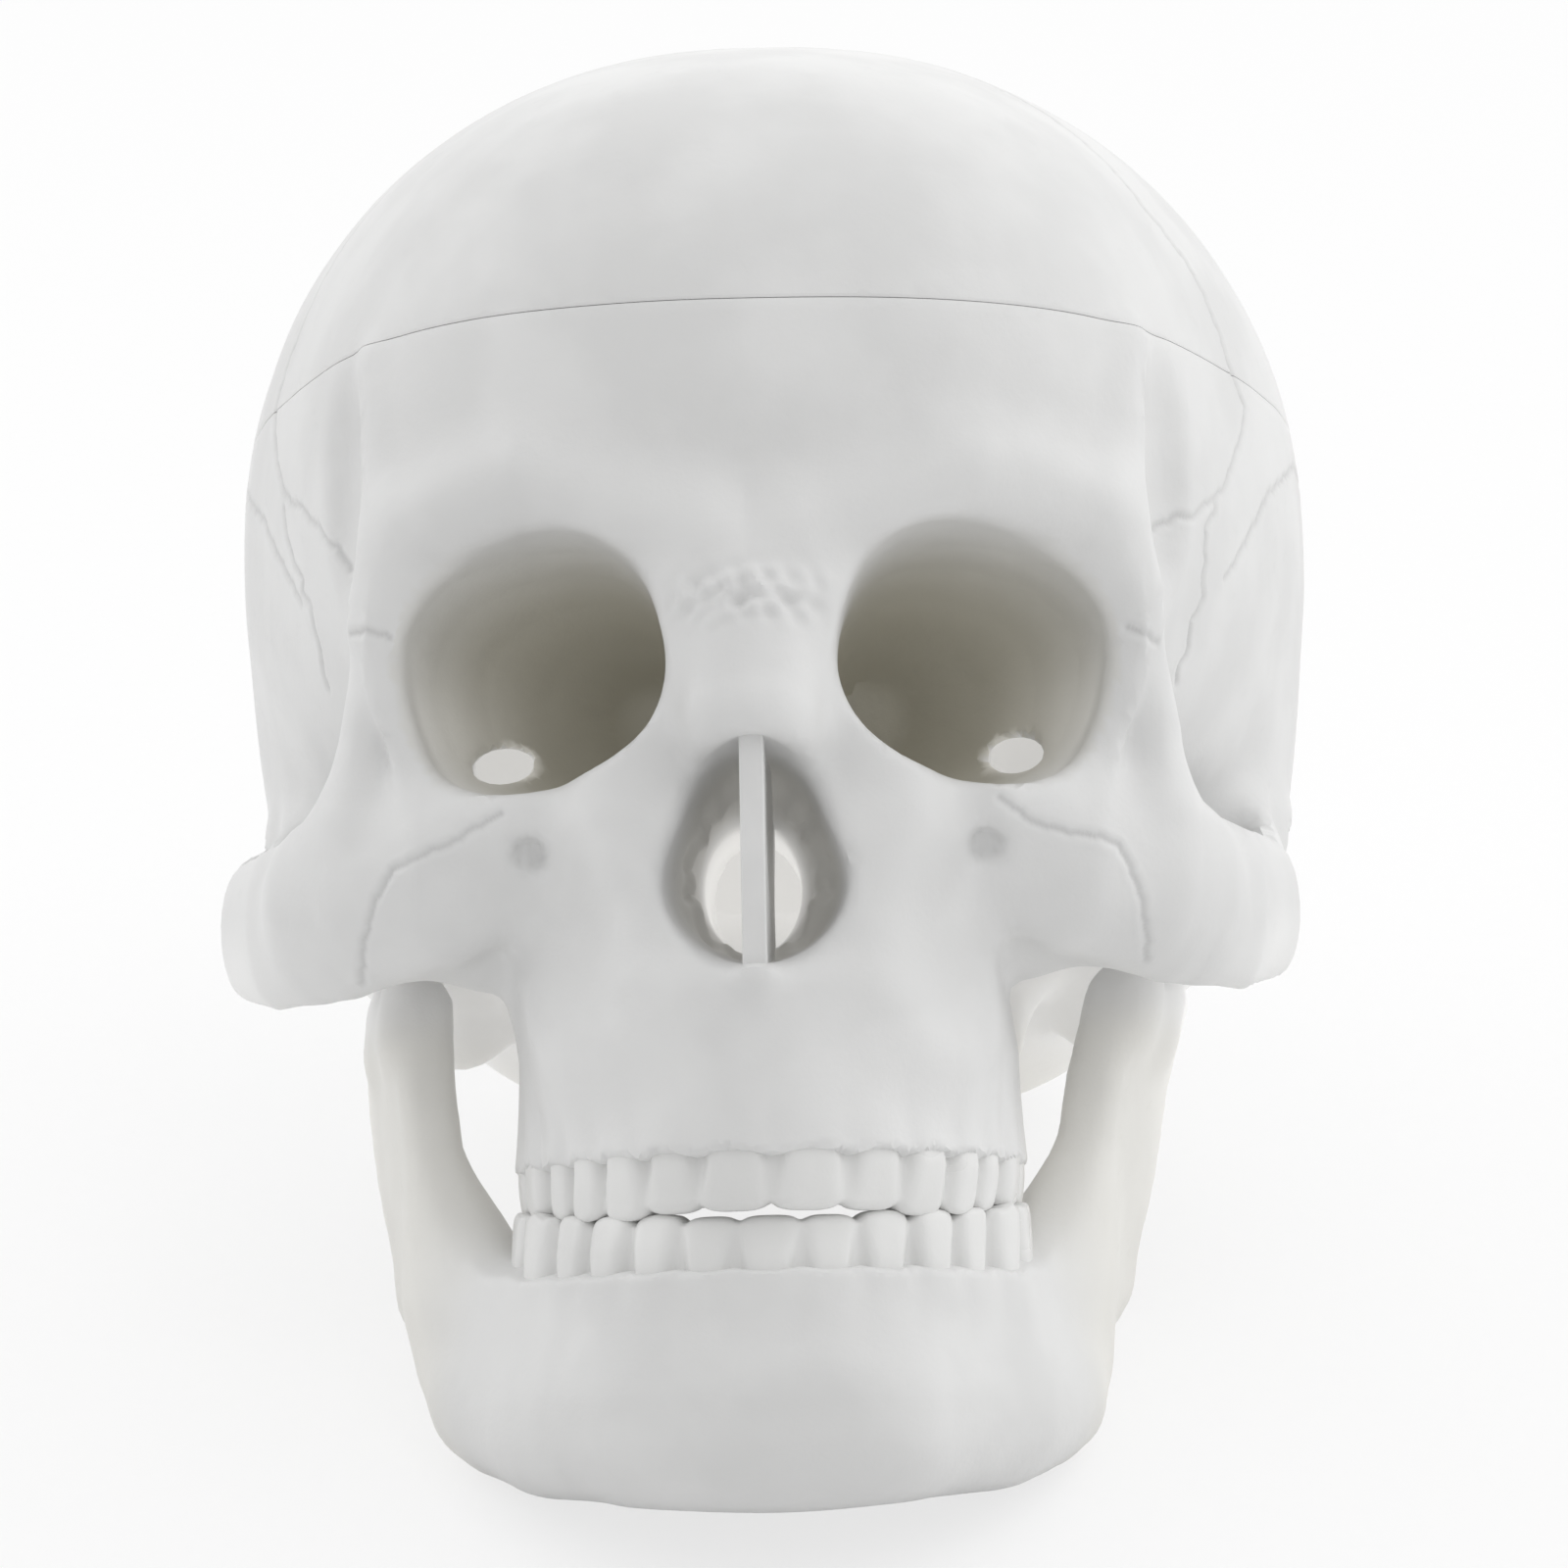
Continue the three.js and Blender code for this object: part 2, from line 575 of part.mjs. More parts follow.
// Thinning: edges are collapsed where the planes around them are disturbed least

function quadricOf(points, a, b, c) {
  const at = (n) => new THREE.Vector3(points[3 * n], points[3 * n + 1], points[3 * n + 2]);
  const [p, q, r] = [at(a), at(b), at(c)];
  const normal = q.clone().sub(p).cross(r.clone().sub(p));
  const area = normal.length();
  if (area === 0) return null;
  normal.divideScalar(area);
  const { x, y, z } = normal;
  const d = -normal.dot(p);
  return [x * x, x * y, x * z, x * d, y * y, y * z, y * d, z * z, z * d, d * d]
    .map((term) => term * area);
}

function disturbance(q, x, y, z) {
  return q[0] * x * x + 2 * q[1] * x * y + 2 * q[2] * x * z + 2 * q[3] * x
    + q[4] * y * y + 2 * q[5] * y * z + 2 * q[6] * y + q[7] * z * z + 2 * q[8] * z + q[9];
}

// The point of least disturbance, if the planes fix one.
function bestPoint(q) {
  const [a, b, c, d, e, f, g, h, i] = q;
  const determinant = a * (e * h - f * f) - b * (b * h - f * c) + c * (b * f - e * c);
  const scale = (a + e + h) / 3;
  if (Math.abs(determinant) < 1e-3 * scale ** 3) return null;
  return [
    (-d * (e * h - f * f) + b * (g * h - f * i) - c * (g * f - e * i)) / determinant,
    (-a * (g * h - i * f) + d * (b * h - f * c) - c * (b * i - g * c)) / determinant,
    (-a * (e * i - g * f) + b * (b * i - g * c) - d * (b * f - e * c)) / determinant,
  ];
}

function heapPush(heap, entry) {
  let n = heap.push(entry) - 1;
  while (n > 0) {
    const parent = (n - 1) >> 1;
    if (heap[parent].cost <= entry.cost) break;
    heap[n] = heap[parent];
    n = parent;
  }
  heap[n] = entry;
}

function heapPop(heap) {
  const top = heap[0];
  const entry = heap.pop();
  if (heap.length === 0) return top;
  let n = 0;
  for (;;) {
    let child = 2 * n + 1;
    if (child >= heap.length) break;
    if (child + 1 < heap.length && heap[child + 1].cost < heap[child].cost) child += 1;
    if (heap[child].cost >= entry.cost) break;
    heap[n] = heap[child];
    n = child;
  }
  heap[n] = entry;
  return top;
}

function thinned(mesh, wantedFaces) {
  const points = Float64Array.from(mesh.points);
  const faces = [];
  for (let n = 0; n < mesh.faces.length; n += 3) {
    faces.push([mesh.faces[n], mesh.faces[n + 1], mesh.faces[n + 2]]);
  }
  const count = points.length / 3;
  const quadrics = Array.from({ length: count }, () => new Float64Array(10));
  const touching = Array.from({ length: count }, () => new Set());
  const version = new Uint32Array(count);
  faces.forEach((face, n) => {
    const plane = quadricOf(points, ...face);
    face.forEach((corner) => {
      touching[corner].add(n);
      if (plane) plane.forEach((term, k) => { quadrics[corner][k] += term; });
    });
  });
  const around = (v) => {
    const found = new Set();
    touching[v].forEach((n) => faces[n].forEach((corner) => {
      if (corner !== v) found.add(corner);
    }));
    return found;
  };
  const heap = [];
  const offer = (a, b) => {
    const sum = quadrics[a].map((term, k) => term + quadrics[b][k]);
    const middle = [0, 1, 2].map((k) => (points[3 * a + k] + points[3 * b + k]) / 2);
    const length = Math.hypot(...[0, 1, 2].map((k) => points[3 * a + k] - points[3 * b + k]));
    const best = bestPoint(sum);
    const near = best && Math.hypot(...best.map((value, k) => value - middle[k])) < length;
    const place = near ? best : middle;
    const cost = Math.max(disturbance(sum, ...place), 0) + 1e-4 * length ** 4;
    heapPush(heap, { cost, a, b, place, stamp: version[a] + version[b] });
  };
  const turns = (v, other, place) => {
    for (const n of touching[v]) {
      const face = faces[n];
      if (face.includes(other)) continue;
      const before = face.map((corner) => points.slice(3 * corner, 3 * corner + 3));
      const after = face.map((corner, k) => (corner === v ? place : before[k]));
      const [was, is] = [before, after].map(([p, q, r]) => {
        const [ux, uy, uz] = [q[0] - p[0], q[1] - p[1], q[2] - p[2]];
        const [vx, vy, vz] = [r[0] - p[0], r[1] - p[1], r[2] - p[2]];
        return [uy * vz - uz * vy, uz * vx - ux * vz, ux * vy - uy * vx];
      });
      const dot = was[0] * is[0] + was[1] * is[1] + was[2] * is[2];
      if (dot <= 0.25 * Math.hypot(...was) * Math.hypot(...is)) return true;
    }
    return false;
  };
  for (let a = 0; a < count; a += 1) around(a).forEach((b) => { if (a < b) offer(a, b); });
  let left = faces.length;
  while (left > wantedFaces && heap.length > 0) {
    const { a, b, place, stamp } = heapPop(heap);
    if (version[a] + version[b] !== stamp || !touching[a].size || !touching[b].size) continue;
    const shared = [...touching[a]].filter((n) => touching[b].has(n));
    const besideB = around(b);
    const common = [...around(a)].filter((v) => besideB.has(v));
    if (shared.length !== 2 || common.length !== 2) continue;
    if (turns(a, b, place) || turns(b, a, place)) continue;
    shared.forEach((n) => faces[n].forEach((corner) => touching[corner].delete(n)));
    touching[b].forEach((n) => {
      faces[n] = faces[n].map((corner) => (corner === b ? a : corner));
      touching[a].add(n);
    });
    touching[b].clear();
    points.set(place, 3 * a);
    quadrics[b].forEach((term, k) => { quadrics[a][k] += term; });
    shared.forEach((n) => { faces[n] = null; });
    left -= 2;
    version[b] += 1e6;
    const beside = around(a);
    version[a] += 1;
    beside.forEach((v) => offer(a, v));
  }
  return { points, faces: Uint32Array.from(faces.filter(Boolean).flat()) };
}

// Solids for cutting and joining

function solidOf(geometry) {
  const bare = geometry.clone();
  bare.deleteAttribute('normal');
  bare.deleteAttribute('uv');
  const merged = mergeVertices(bare, 1e-4);
  return new wasm.Manifold(new wasm.Mesh({
    numProp: 3,
    vertProperties: merged.attributes.position.array,
    triVerts: new Uint32Array(merged.index.array),
  }));
}

function solidOfSkin({ points, faces }) {
  const geometry = new THREE.BufferGeometry();
  geometry.setAttribute('position', new THREE.BufferAttribute(Float32Array.from(points), 3));
  geometry.setIndex(new THREE.BufferAttribute(faces, 1));
  return solidOf(geometry);
}

function geometryOf(solid) {
  const { vertProperties, triVerts } = solid.getMesh();
  const geometry = new THREE.BufferGeometry();
  geometry.setAttribute('position', new THREE.BufferAttribute(vertProperties, 3));
  geometry.setIndex(new THREE.BufferAttribute(triVerts, 1));
  return geometry;
}

function boxSolid(low, high) {
  const size = high.map((value, k) => value - low[k]);
  const geometry = new THREE.BoxGeometry(...size);
  geometry.translate(...low.map((value, k) => value + size[k] / 2));
  return solidOf(geometry);
}

// A round bar from one point to another, or its clearance hole.
function barGeometry(from, to, radius, sides = 12) {
  const run = to.clone().sub(from);
  const geometry = new THREE.CylinderGeometry(radius, radius, run.length(), sides);
  const turn = new THREE.Quaternion().setFromUnitVectors(
    new THREE.Vector3(0, 1, 0), run.clone().normalize());
  geometry.applyQuaternion(turn);
  geometry.translate(...from.clone().add(to).multiplyScalar(0.5).toArray());
  return geometry;
}

// Places found on the bone

const MARCH_STEP = 0.25;
const HOLE_OVERRUN = 3;

// The first place where the bone's surface is met from a start, along a direction.
function meet(form, start, direction) {
  for (let gone = 0; gone < WIDE; gone += MARCH_STEP) {
    const at = start.clone().addScaledVector(direction, gone);
    if (form(Math.abs(at.x), at.y, at.z) < 0) return at;
  }
  throw new Error('no bone on that line');
}

// The middle of the vault's wall at a height, at a bearing from the front.
function wallMiddle(bearing, z) {
  const inward = new THREE.Vector3(-Math.sin(bearing), Math.cos(bearing), 0);
  const far = inward.clone().multiplyScalar(-WIDE / 2).setZ(z);
  const surface = meet(braincase, far, inward);
  const normal = normalAt(braincase, surface).setZ(0);
  return surface.addScaledVector(normal, -VAULT_WALL / 2 / normal.lengthSq());
}

function normalAt(form, at) {
  const { x, y, z } = at;
  const value = (a, b, c) => form(Math.abs(a), b, c);
  return new THREE.Vector3(
    value(x + MARCH_STEP, y, z) - value(x - MARCH_STEP, y, z),
    value(x, y + MARCH_STEP, z) - value(x, y - MARCH_STEP, z),
    value(x, y, z + MARCH_STEP) - value(x, y, z - MARCH_STEP)).normalize();
}

// Skins of the bones and tooth rows

const REACH = { side: 84, front: -112, back: rearCentre[1] + OCCIPUT_DEPTH + 6 };
const skullSkin = thinned(skin(fixedSkull,
  [-REACH.side, REACH.front, UPPER_GUM_Z - 6],
  [REACH.side, REACH.back, VAULT_HEIGHT + 8], BONE_CELL), BASE_AND_CAP_FACES);
const jawReach = CONDYLE.x + CONDYLE_HALF_WIDTH + 6.5;
const jawSkin = thinned(skin(lowerJaw,
  [-jawReach, LOWER_ARCH.backY - LOWER_ARCH.depth - 8.5, CHIN_Z - 6],
  [jawReach, CONDYLE.y + 16, CONDYLE.z + 12], BONE_CELL), JAW_FACES);
const rowLow = (arch) => [-arch.halfWidth - 8, arch.backY - arch.depth - 8];
const rowHigh = (arch) => [arch.halfWidth + 8, arch.backY + 16];
const upperRow = toothRow(UPPER_ARCH, UPPER_TEETH, UPPER_GUM_Z, BITE_Z);
const lowerRow = toothRow(LOWER_ARCH, LOWER_TEETH, LOWER_GUM_Z, BITE_Z - BITE_GAP);
const upperRowSkin = thinned(skin(upperRow,
  [...rowLow(UPPER_ARCH), BITE_Z - 2], [...rowHigh(UPPER_ARCH), UPPER_GUM_Z + 4],
  TOOTH_CELL), TOOTH_ROW_FACES);
const lowerRowSkin = thinned(skin(lowerRow,
  [...rowLow(LOWER_ARCH), LOWER_GUM_Z - 4], [...rowHigh(LOWER_ARCH), BITE_Z - BITE_GAP + 2],
  TOOTH_CELL), TOOTH_ROW_FACES);

const skullSolid = solidOfSkin(skullSkin);
const belowCut = boxSolid([-WIDE, -WIDE, -WIDE], [WIDE, WIDE, CUT_HEIGHT - SEAM / 2]);
const aboveCut = boxSolid([-WIDE, -WIDE, CUT_HEIGHT + SEAM / 2], [WIDE, WIDE, WIDE]);
const aboveUpperGum = boxSolid([-WIDE, -WIDE, UPPER_GUM_Z + FIT / 2], [WIDE, WIDE, WIDE]);
const belowUpperGum = boxSolid([-WIDE, -WIDE, -WIDE], [WIDE, WIDE, UPPER_GUM_Z - FIT / 2]);
const jawBlock = boxSolid(
  [-36, -WIDE, LOWER_GUM_Z - FIT / 2], [36, LOWER_ARCH.backY + 5.5, LOWER_GUM_Z + 9]);
const aboveLowerGum = boxSolid([-WIDE, -WIDE, LOWER_GUM_Z + FIT / 2], [WIDE, WIDE, WIDE]);

let baseSolid = skullSolid.intersect(belowCut).intersect(aboveUpperGum);
let capSolid = skullSolid.intersect(aboveCut);
let jawSolid = solidOfSkin(jawSkin).subtract(jawBlock);
const upperTeethSolid = solidOfSkin(upperRowSkin).intersect(belowUpperGum);
const lowerTeethSolid = solidOfSkin(lowerRowSkin).intersect(aboveLowerGum);

// Nasal septum: a flat plate let into the floor and the roof of the nose

const SEPTUM_SEAT = 1;
const SEPTUM_FRONT_Y = -96.5;
const septumBox = (clearance) => boxSolid(
  [-SEPTUM_THICKNESS / 2 - clearance, SEPTUM_FRONT_Y - clearance,
    NASAL_FLOOR_Z - SEPTUM_SEAT - clearance],
  [SEPTUM_THICKNESS / 2 + clearance, SEPTUM_FRONT_Y + SEPTUM_DEPTH + clearance,
    NASAL_TOP_Z + SEPTUM_SEAT + clearance]);
const septumSolid = septumBox(0);
baseSolid = baseSolid.subtract(septumBox(FIT));

// Pegs that keep the cap in place on the base

const UP = new THREE.Vector3(0, 0, 1);
const pegPlace = (bearing) => wallMiddle(bearing, CUT_HEIGHT - PEG_IN_BASE)
  .lerp(wallMiddle(bearing, CUT_HEIGHT + PEG_IN_CAP), 0.5)
  .setZ(CUT_HEIGHT);
const pegPlaces = {
  cap_pin_front: pegPlace(0),
  cap_pin_back_left: pegPlace(-BACK_PEG_BEARING),
  cap_pin_back_right: pegPlace(BACK_PEG_BEARING),
};
const pegBar = (place, clearance) => barGeometry(
  place.clone().addScaledVector(UP, -PEG_IN_BASE - clearance),
  place.clone().addScaledVector(UP, PEG_IN_CAP + clearance),
  PEG_RADIUS + clearance);
Object.values(pegPlaces).forEach((place) => {
  const hole = solidOf(pegBar(place, FIT));
  baseSolid = baseSolid.subtract(hole);
  capSolid = capSolid.subtract(hole);
});

// Screws: a round head with a cross recess on a shank that grips the bone

const RECESS_WIDTH = 0.7;
const RECESS_DEPTH = 0.8;

function screwGeometry(standOut, shank = SCREW_RADIUS) {
  const top = standOut + SCREW_HEAD_HEIGHT;
  const head = shank + SCREW_HEAD_OVERHANG;
  const profile = [
    [0, -SCREW_GRIP], [shank, -SCREW_GRIP], [shank, standOut],
    [head, standOut], [head, standOut + SCREW_HEAD_HEIGHT * 0.5],
    [head * 0.7, top], [0, top],
  ].map(([radius, height]) => new THREE.Vector2(radius, height));
  const turned = new THREE.LatheGeometry(profile, 12);
  const long = head * 0.6;
  const recess = [[long, RECESS_WIDTH / 2], [RECESS_WIDTH / 2, long]].map(([a, b]) =>
    boxSolid([-a, top - RECESS_DEPTH, -b], [a, top + 1, b]));
  const solid = solidOf(turned).subtract(recess[0].add(recess[1]));
  const geometry = geometryOf(solid);
  geometry.rotateX(Math.PI / 2);
  return geometry;
}

// Turns local x, y, z onto three square directions at a place.
function frameAt(place, along, across, out) {
  return new THREE.Matrix4().makeBasis(along, across, out).setPosition(place);
}

function screwHole(place, out, shank = SCREW_RADIUS) {
  return solidOf(barGeometry(
    place.clone().addScaledVector(out, -SCREW_GRIP - FIT),
    place.clone().addScaledVector(out, HOLE_OVERRUN), shank + FIT));
}

const mirrorX = new THREE.Matrix4().makeScale(-1, 1, 1);

function mirrored(geometry, mirror = mirrorX) {
  const copy = geometry.clone().applyMatrix4(mirror);
  const index = copy.index.array;
  for (let n = 0; n < index.length; n += 3) [index[n], index[n + 1]] = [index[n + 1], index[n]];
  return copy;
}

// Both sides of a solid, for cutting the same hole left and right.
function pair(solid) {
  return solid.add(solidOf(mirrored(geometryOf(solid))));
}

// Jaw springs, behind the cheek arches: from a screw in the base's side wall down to
// a screw in the front prong of the jaw's branch

const OUTWARD = new THREE.Vector3(1, 0, 0);
const insideArch = archOuterX - CHEEK_ARCH_HALF_THICKNESS - 1;
const springSeat = (form, { y, z }) => meet(
  form, new THREE.Vector3(insideArch, y, z), OUTWARD.clone().negate());
const upperSeat = springSeat(fixedSkull, SPRING_UPPER);
const lowerSeat = springSeat(lowerJaw, SPRING_LOWER);
const springScrew = screwGeometry(
  SPRING_STAND + SPRING_WIRE_RADIUS + SPRING_HEAD_ROOM, SPRING_SCREW_RADIUS);
const springScrewFrame = (seat) => frameAt(
  seat, new THREE.Vector3(0, 1, 0), new THREE.Vector3(0, 0, 1), OUTWARD);
baseSolid = baseSolid.subtract(pair(screwHole(upperSeat, OUTWARD, SPRING_SCREW_RADIUS)));
jawSolid = jawSolid.subtract(pair(screwHole(lowerSeat, OUTWARD, SPRING_SCREW_RADIUS)));

const CURL_STEPS = 8;
const LOOP_END_STRAIGHT = 2 * SPRING_WIRE_RADIUS * Math.SQRT1_2;
const LEG_BEND_SHARE = 0.6;

// The spring's wire from one end to the other, in its own frame: z runs up the coil.
// Each end is a loop about its screw, closed to a short gap.
function springPath(length) {
  const loop = [];
  for (let step = -3; step <= 2; step += 1) {
    const turn = step * 2 * Math.PI / CURL_STEPS;
    loop.push([0, SPRING_LOOP_RADIUS * Math.sin(turn), -SPRING_LOOP_RADIUS * Math.cos(turn)]);
  }
  const [tip] = loop;
  const tail = [0, tip[1] + LOOP_END_STRAIGHT, tip[2] + LOOP_END_STRAIGHT];
  const coilLength = SPRING_TURNS * SPRING_PITCH;
  const start = (length - coilLength) / 2;
  const coil = [];
  for (let step = 1; step < SPRING_TURNS * CURL_STEPS; step += 1) {
    const turn = step * 2 * Math.PI / CURL_STEPS;
    coil.push([
      SPRING_RADIUS * Math.sin(turn), SPRING_RADIUS * Math.cos(turn),
      start + coilLength * step / (SPRING_TURNS * CURL_STEPS)]);
  }
  const straight = [[0, SPRING_RADIUS, start * LEG_BEND_SHARE], [0, SPRING_RADIUS, start]];
  const turnOver = ([x, y, z]) => [x, y, length - z];
  const lowerEnd = [tail, ...loop, ...straight];
  const upperEnd = lowerEnd.map(turnOver).reverse();
  return [...lowerEnd, ...coil, ...upperEnd].map((point) => new THREE.Vector3(...point));
}

// One unbroken tube through the path, each ring halving the bend at its point.
function wireGeometry(path, radius, sides = 5) {
  const positions = [];
  const index = [];
  const directions = path.map((point, n) => {
    const before = n > 0 ? point.clone().sub(path[n - 1]).normalize() : null;
    const after = n < path.length - 1 ? path[n + 1].clone().sub(point).normalize() : null;
    return before && after ? before.add(after).normalize() : before ?? after;
  });
  let side = new THREE.Vector3(1, 0, 0);
  path.forEach((point, n) => {
    side = side.clone().addScaledVector(directions[n], -side.dot(directions[n])).normalize();
    const other = directions[n].clone().cross(side);
    for (let k = 0; k < sides; k += 1) {
      const turn = k / sides * 2 * Math.PI;
      positions.push(...point.clone()
        .addScaledVector(side, radius * Math.cos(turn))
        .addScaledVector(other, radius * Math.sin(turn)).toArray());
    }
    if (n === 0) return;
    for (let k = 0; k < sides; k += 1) {
      const [a, b] = [(n - 1) * sides + k, (n - 1) * sides + (k + 1) % sides];
      index.push(a, b, b + sides, a, b + sides, a + sides);
    }
  });
  const last = (path.length - 1) * sides;
  for (let k = 1; k < sides - 1; k += 1) {
    index.push(0, k + 1, k, last, last + k, last + k + 1);
  }
  const geometry = new THREE.BufferGeometry();
  geometry.setAttribute('position', new THREE.Float32BufferAttribute(positions, 3));
  geometry.setIndex(index);
  return geometry;
}

const GAP_SAMPLE_STEP = 0.4;
const NEIGHBOUR_REACH = 6;

// The least gap between parts of a wire that aren't neighbours along it.
function leastGap(path, radius) {
  const curve = new THREE.CurvePath();
  path.slice(1).forEach((point, n) => curve.add(new THREE.LineCurve3(path[n], point)));
  const points = curve.getSpacedPoints(Math.ceil(curve.getLength() / GAP_SAMPLE_STEP));
  const skip = Math.ceil(NEIGHBOUR_REACH / GAP_SAMPLE_STEP);
  let least = Infinity;
  for (let a = 0; a < points.length; a += 1) {
    for (let b = a + skip; b < points.length; b += 1) {
      least = Math.min(least, points[a].distanceTo(points[b]));
    }
  }
  return least - 2 * radius;
}

const springFrom = lowerSeat.clone().addScaledVector(OUTWARD, SPRING_STAND);
const springTo = upperSeat.clone().addScaledVector(OUTWARD, SPRING_STAND);
const springRun = springTo.clone().sub(springFrom);
const springLength = springRun.length();
const springAlong = springRun.clone().normalize();
const springAcross = springAlong.clone().cross(OUTWARD).normalize();
const springOut = springAcross.clone().cross(springAlong).normalize();
const wirePath = springPath(springLength);
const springGeometry = wireGeometry(wirePath, SPRING_WIRE_RADIUS)
  .applyMatrix4(frameAt(springFrom, springOut, springAcross, springAlong));
const wireGap = leastGap(wirePath, SPRING_WIRE_RADIUS);
console.log(`least gap of the spring wire to itself: ${wireGap.toFixed(2)} mm`);

// How far the skull leans back when it rests on its jaw and the back of its head

function lowest(solid, lean) {
  const { vertProperties } = solid.getMesh();
  let least = Infinity;
  for (let n = 0; n < vertProperties.length; n += 3) {
    const height = vertProperties[n + 2] * Math.cos(lean) - vertProperties[n + 1] * Math.sin(lean);
    least = Math.min(least, height);
  }
  return least;
}

let [upright, laidBack] = [0, Math.PI / 3];
for (let round = 0; round < 30; round += 1) {
  const lean = (upright + laidBack) / 2;
  if (lowest(jawSolid, lean) < lowest(baseSolid, lean)) upright = lean;
  else laidBack = lean;
}
const LEAN = (upright + laidBack) / 2;
const floorHeight = lowest(baseSolid, LEAN) + FOOT_DEPTH;
const floorBox = new THREE.BoxGeometry(2 * WIDE, 2 * WIDE, WIDE);
floorBox.translate(0, 0, floorHeight - WIDE / 2);
floorBox.rotateX(LEAN);
const floorSolid = solidOf(floorBox);
baseSolid = baseSolid.subtract(floorSolid);
jawSolid = jawSolid.subtract(floorSolid);

// Cap hooks: a flat hook hangs from a screw on the base, and swings up behind its
// screw until its open notch stands round the catch screw on the cap.

const seamPoint = (z) => meet(
  fixedSkull, new THREE.Vector3(WIDE / 2, HOOK_Y, z), OUTWARD.clone().negate());
const hookOut = normalAt(braincase, seamPoint(CUT_HEIGHT));
const hookUp = UP.clone().addScaledVector(hookOut, -UP.dot(hookOut)).normalize();
const pivotAt = seamPoint(CUT_HEIGHT - HOOK_REACH / 2);
const downward = new THREE.Vector3(0, Math.sin(LEAN), -Math.cos(LEAN));
const hookHang = downward.addScaledVector(hookOut, -downward.dot(hookOut)).normalize();
const hookAcross = hookOut.clone().cross(hookHang);
const hookSwing = Math.PI - hookHang.angleTo(hookUp.clone().negate());

const CLEAR_OF_BONE = 8;
const SWING_STEPS = 16;
const ARM_STEPS = 5;

// How far the bone stands above the hinge's seat anywhere under the swinging hook.
function highestUnder(reach) {
  let highest = 0;
  for (let a = 0; a <= SWING_STEPS; a += 1) {
    const arm = hookHang.clone().applyAxisAngle(hookOut, a / SWING_STEPS * hookSwing);
    for (let r = -1; r <= ARM_STEPS; r += 1) {
      const over = pivotAt.clone().addScaledVector(arm, reach * r / ARM_STEPS)
        .addScaledVector(hookOut, CLEAR_OF_BONE);
      const hit = meet(fixedSkull, over, hookOut.clone().negate());
      highest = Math.max(highest, hit.sub(pivotAt).dot(hookOut));
    }
  }
  return highest;
}

const hookLift = highestUnder(HOOK_REACH + HOOK_HALF_WIDTH) + 2 * FIT;
const hookScrew = screwGeometry(hookLift + HOOK_THICKNESS + FIT);
const overCatch = pivotAt.clone()
  .addScaledVector(hookUp, HOOK_REACH).addScaledVector(hookOut, CLEAR_OF_BONE);
const catchFoot = meet(fixedSkull, overCatch, hookOut.clone().negate());
const catchSink = -catchFoot.clone().sub(pivotAt).dot(hookOut);
const catchScrew = screwGeometry(hookLift + HOOK_THICKNESS + FIT + catchSink);
baseSolid = baseSolid.subtract(pair(screwHole(pivotAt, hookOut)));
capSolid = capSolid.subtract(pair(screwHole(catchFoot, hookOut)));

// A flat bar with round ends between two points of its own plane.
function flatBar(from, to, radius, low, high) {
  const angle = Math.atan2(to.y - from.y, to.x - from.x);
  const outline = new THREE.Shape();
  outline.absarc(from.x, from.y, radius, angle + Math.PI / 2, angle + Math.PI * 1.5, false);
  outline.absarc(to.x, to.y, radius, angle - Math.PI / 2, angle + Math.PI / 2, false);
  const geometry = new THREE.ExtrudeGeometry(
    outline, { depth: high - low, bevelEnabled: false, curveSegments: 7 });
  geometry.translate(0, 0, low);
  return solidOf(geometry);
}

function hookGeometry() {
  const eye = new THREE.Vector2(0, 0);
  const nearEye = new THREE.Vector2(0.01, 0);
  const notch = new THREE.Vector2(HOOK_REACH, 0);
  const outside = new THREE.Vector2(HOOK_REACH, 3 * HOOK_HALF_WIDTH);
  const room = SCREW_RADIUS + FIT;
  const top = hookLift + HOOK_THICKNESS;
  const through = [hookLift - HOLE_OVERRUN, top + HOLE_OVERRUN];
  return geometryOf(flatBar(eye, notch, HOOK_HALF_WIDTH, hookLift, top)
    .subtract(flatBar(notch, outside, room, ...through))
    .subtract(flatBar(eye, nearEye, room, ...through)));
}

// Finishes

const bonePlastic = new THREE.MeshStandardMaterial({
  color: 0xe9e8e4, roughness: 0.42, metalness: 0 });
const toothPlastic = new THREE.MeshStandardMaterial({
  color: 0xeeede8, roughness: 0.32, metalness: 0 });
const steel = new THREE.MeshStandardMaterial({ color: 0xb9bbbd, roughness: 0.3, metalness: 1 });

// Assembly: the base carries the cap, the jaw on its hinge and the hooks on theirs

function piece(name, geometry, material) {
  const mesh = new THREE.Mesh(geometry, material);
  mesh.name = name;
  return mesh;
}

const skull = new THREE.Group();
skull.add(
  piece('skull_base', geometryOf(baseSolid), bonePlastic),
  piece('skull_cap', geometryOf(capSolid), bonePlastic),
  piece('upper_teeth', geometryOf(upperTeethSolid), toothPlastic),
  piece('nasal_septum', geometryOf(septumSolid), bonePlastic));
Object.entries(pegPlaces).forEach(([name, place]) => {
  skull.add(piece(name, pegBar(place, 0), steel));
});

const jaw = new THREE.Group();
jaw.position.set(0, CONDYLE.y, CONDYLE.z);
const fromHinge = (geometry) => geometry.translate(0, -CONDYLE.y, -CONDYLE.z);
jaw.add(
  piece('mandible', fromHinge(geometryOf(jawSolid)), bonePlastic),
  piece('lower_teeth', fromHinge(geometryOf(lowerTeethSolid)), toothPlastic));
skull.add(jaw);

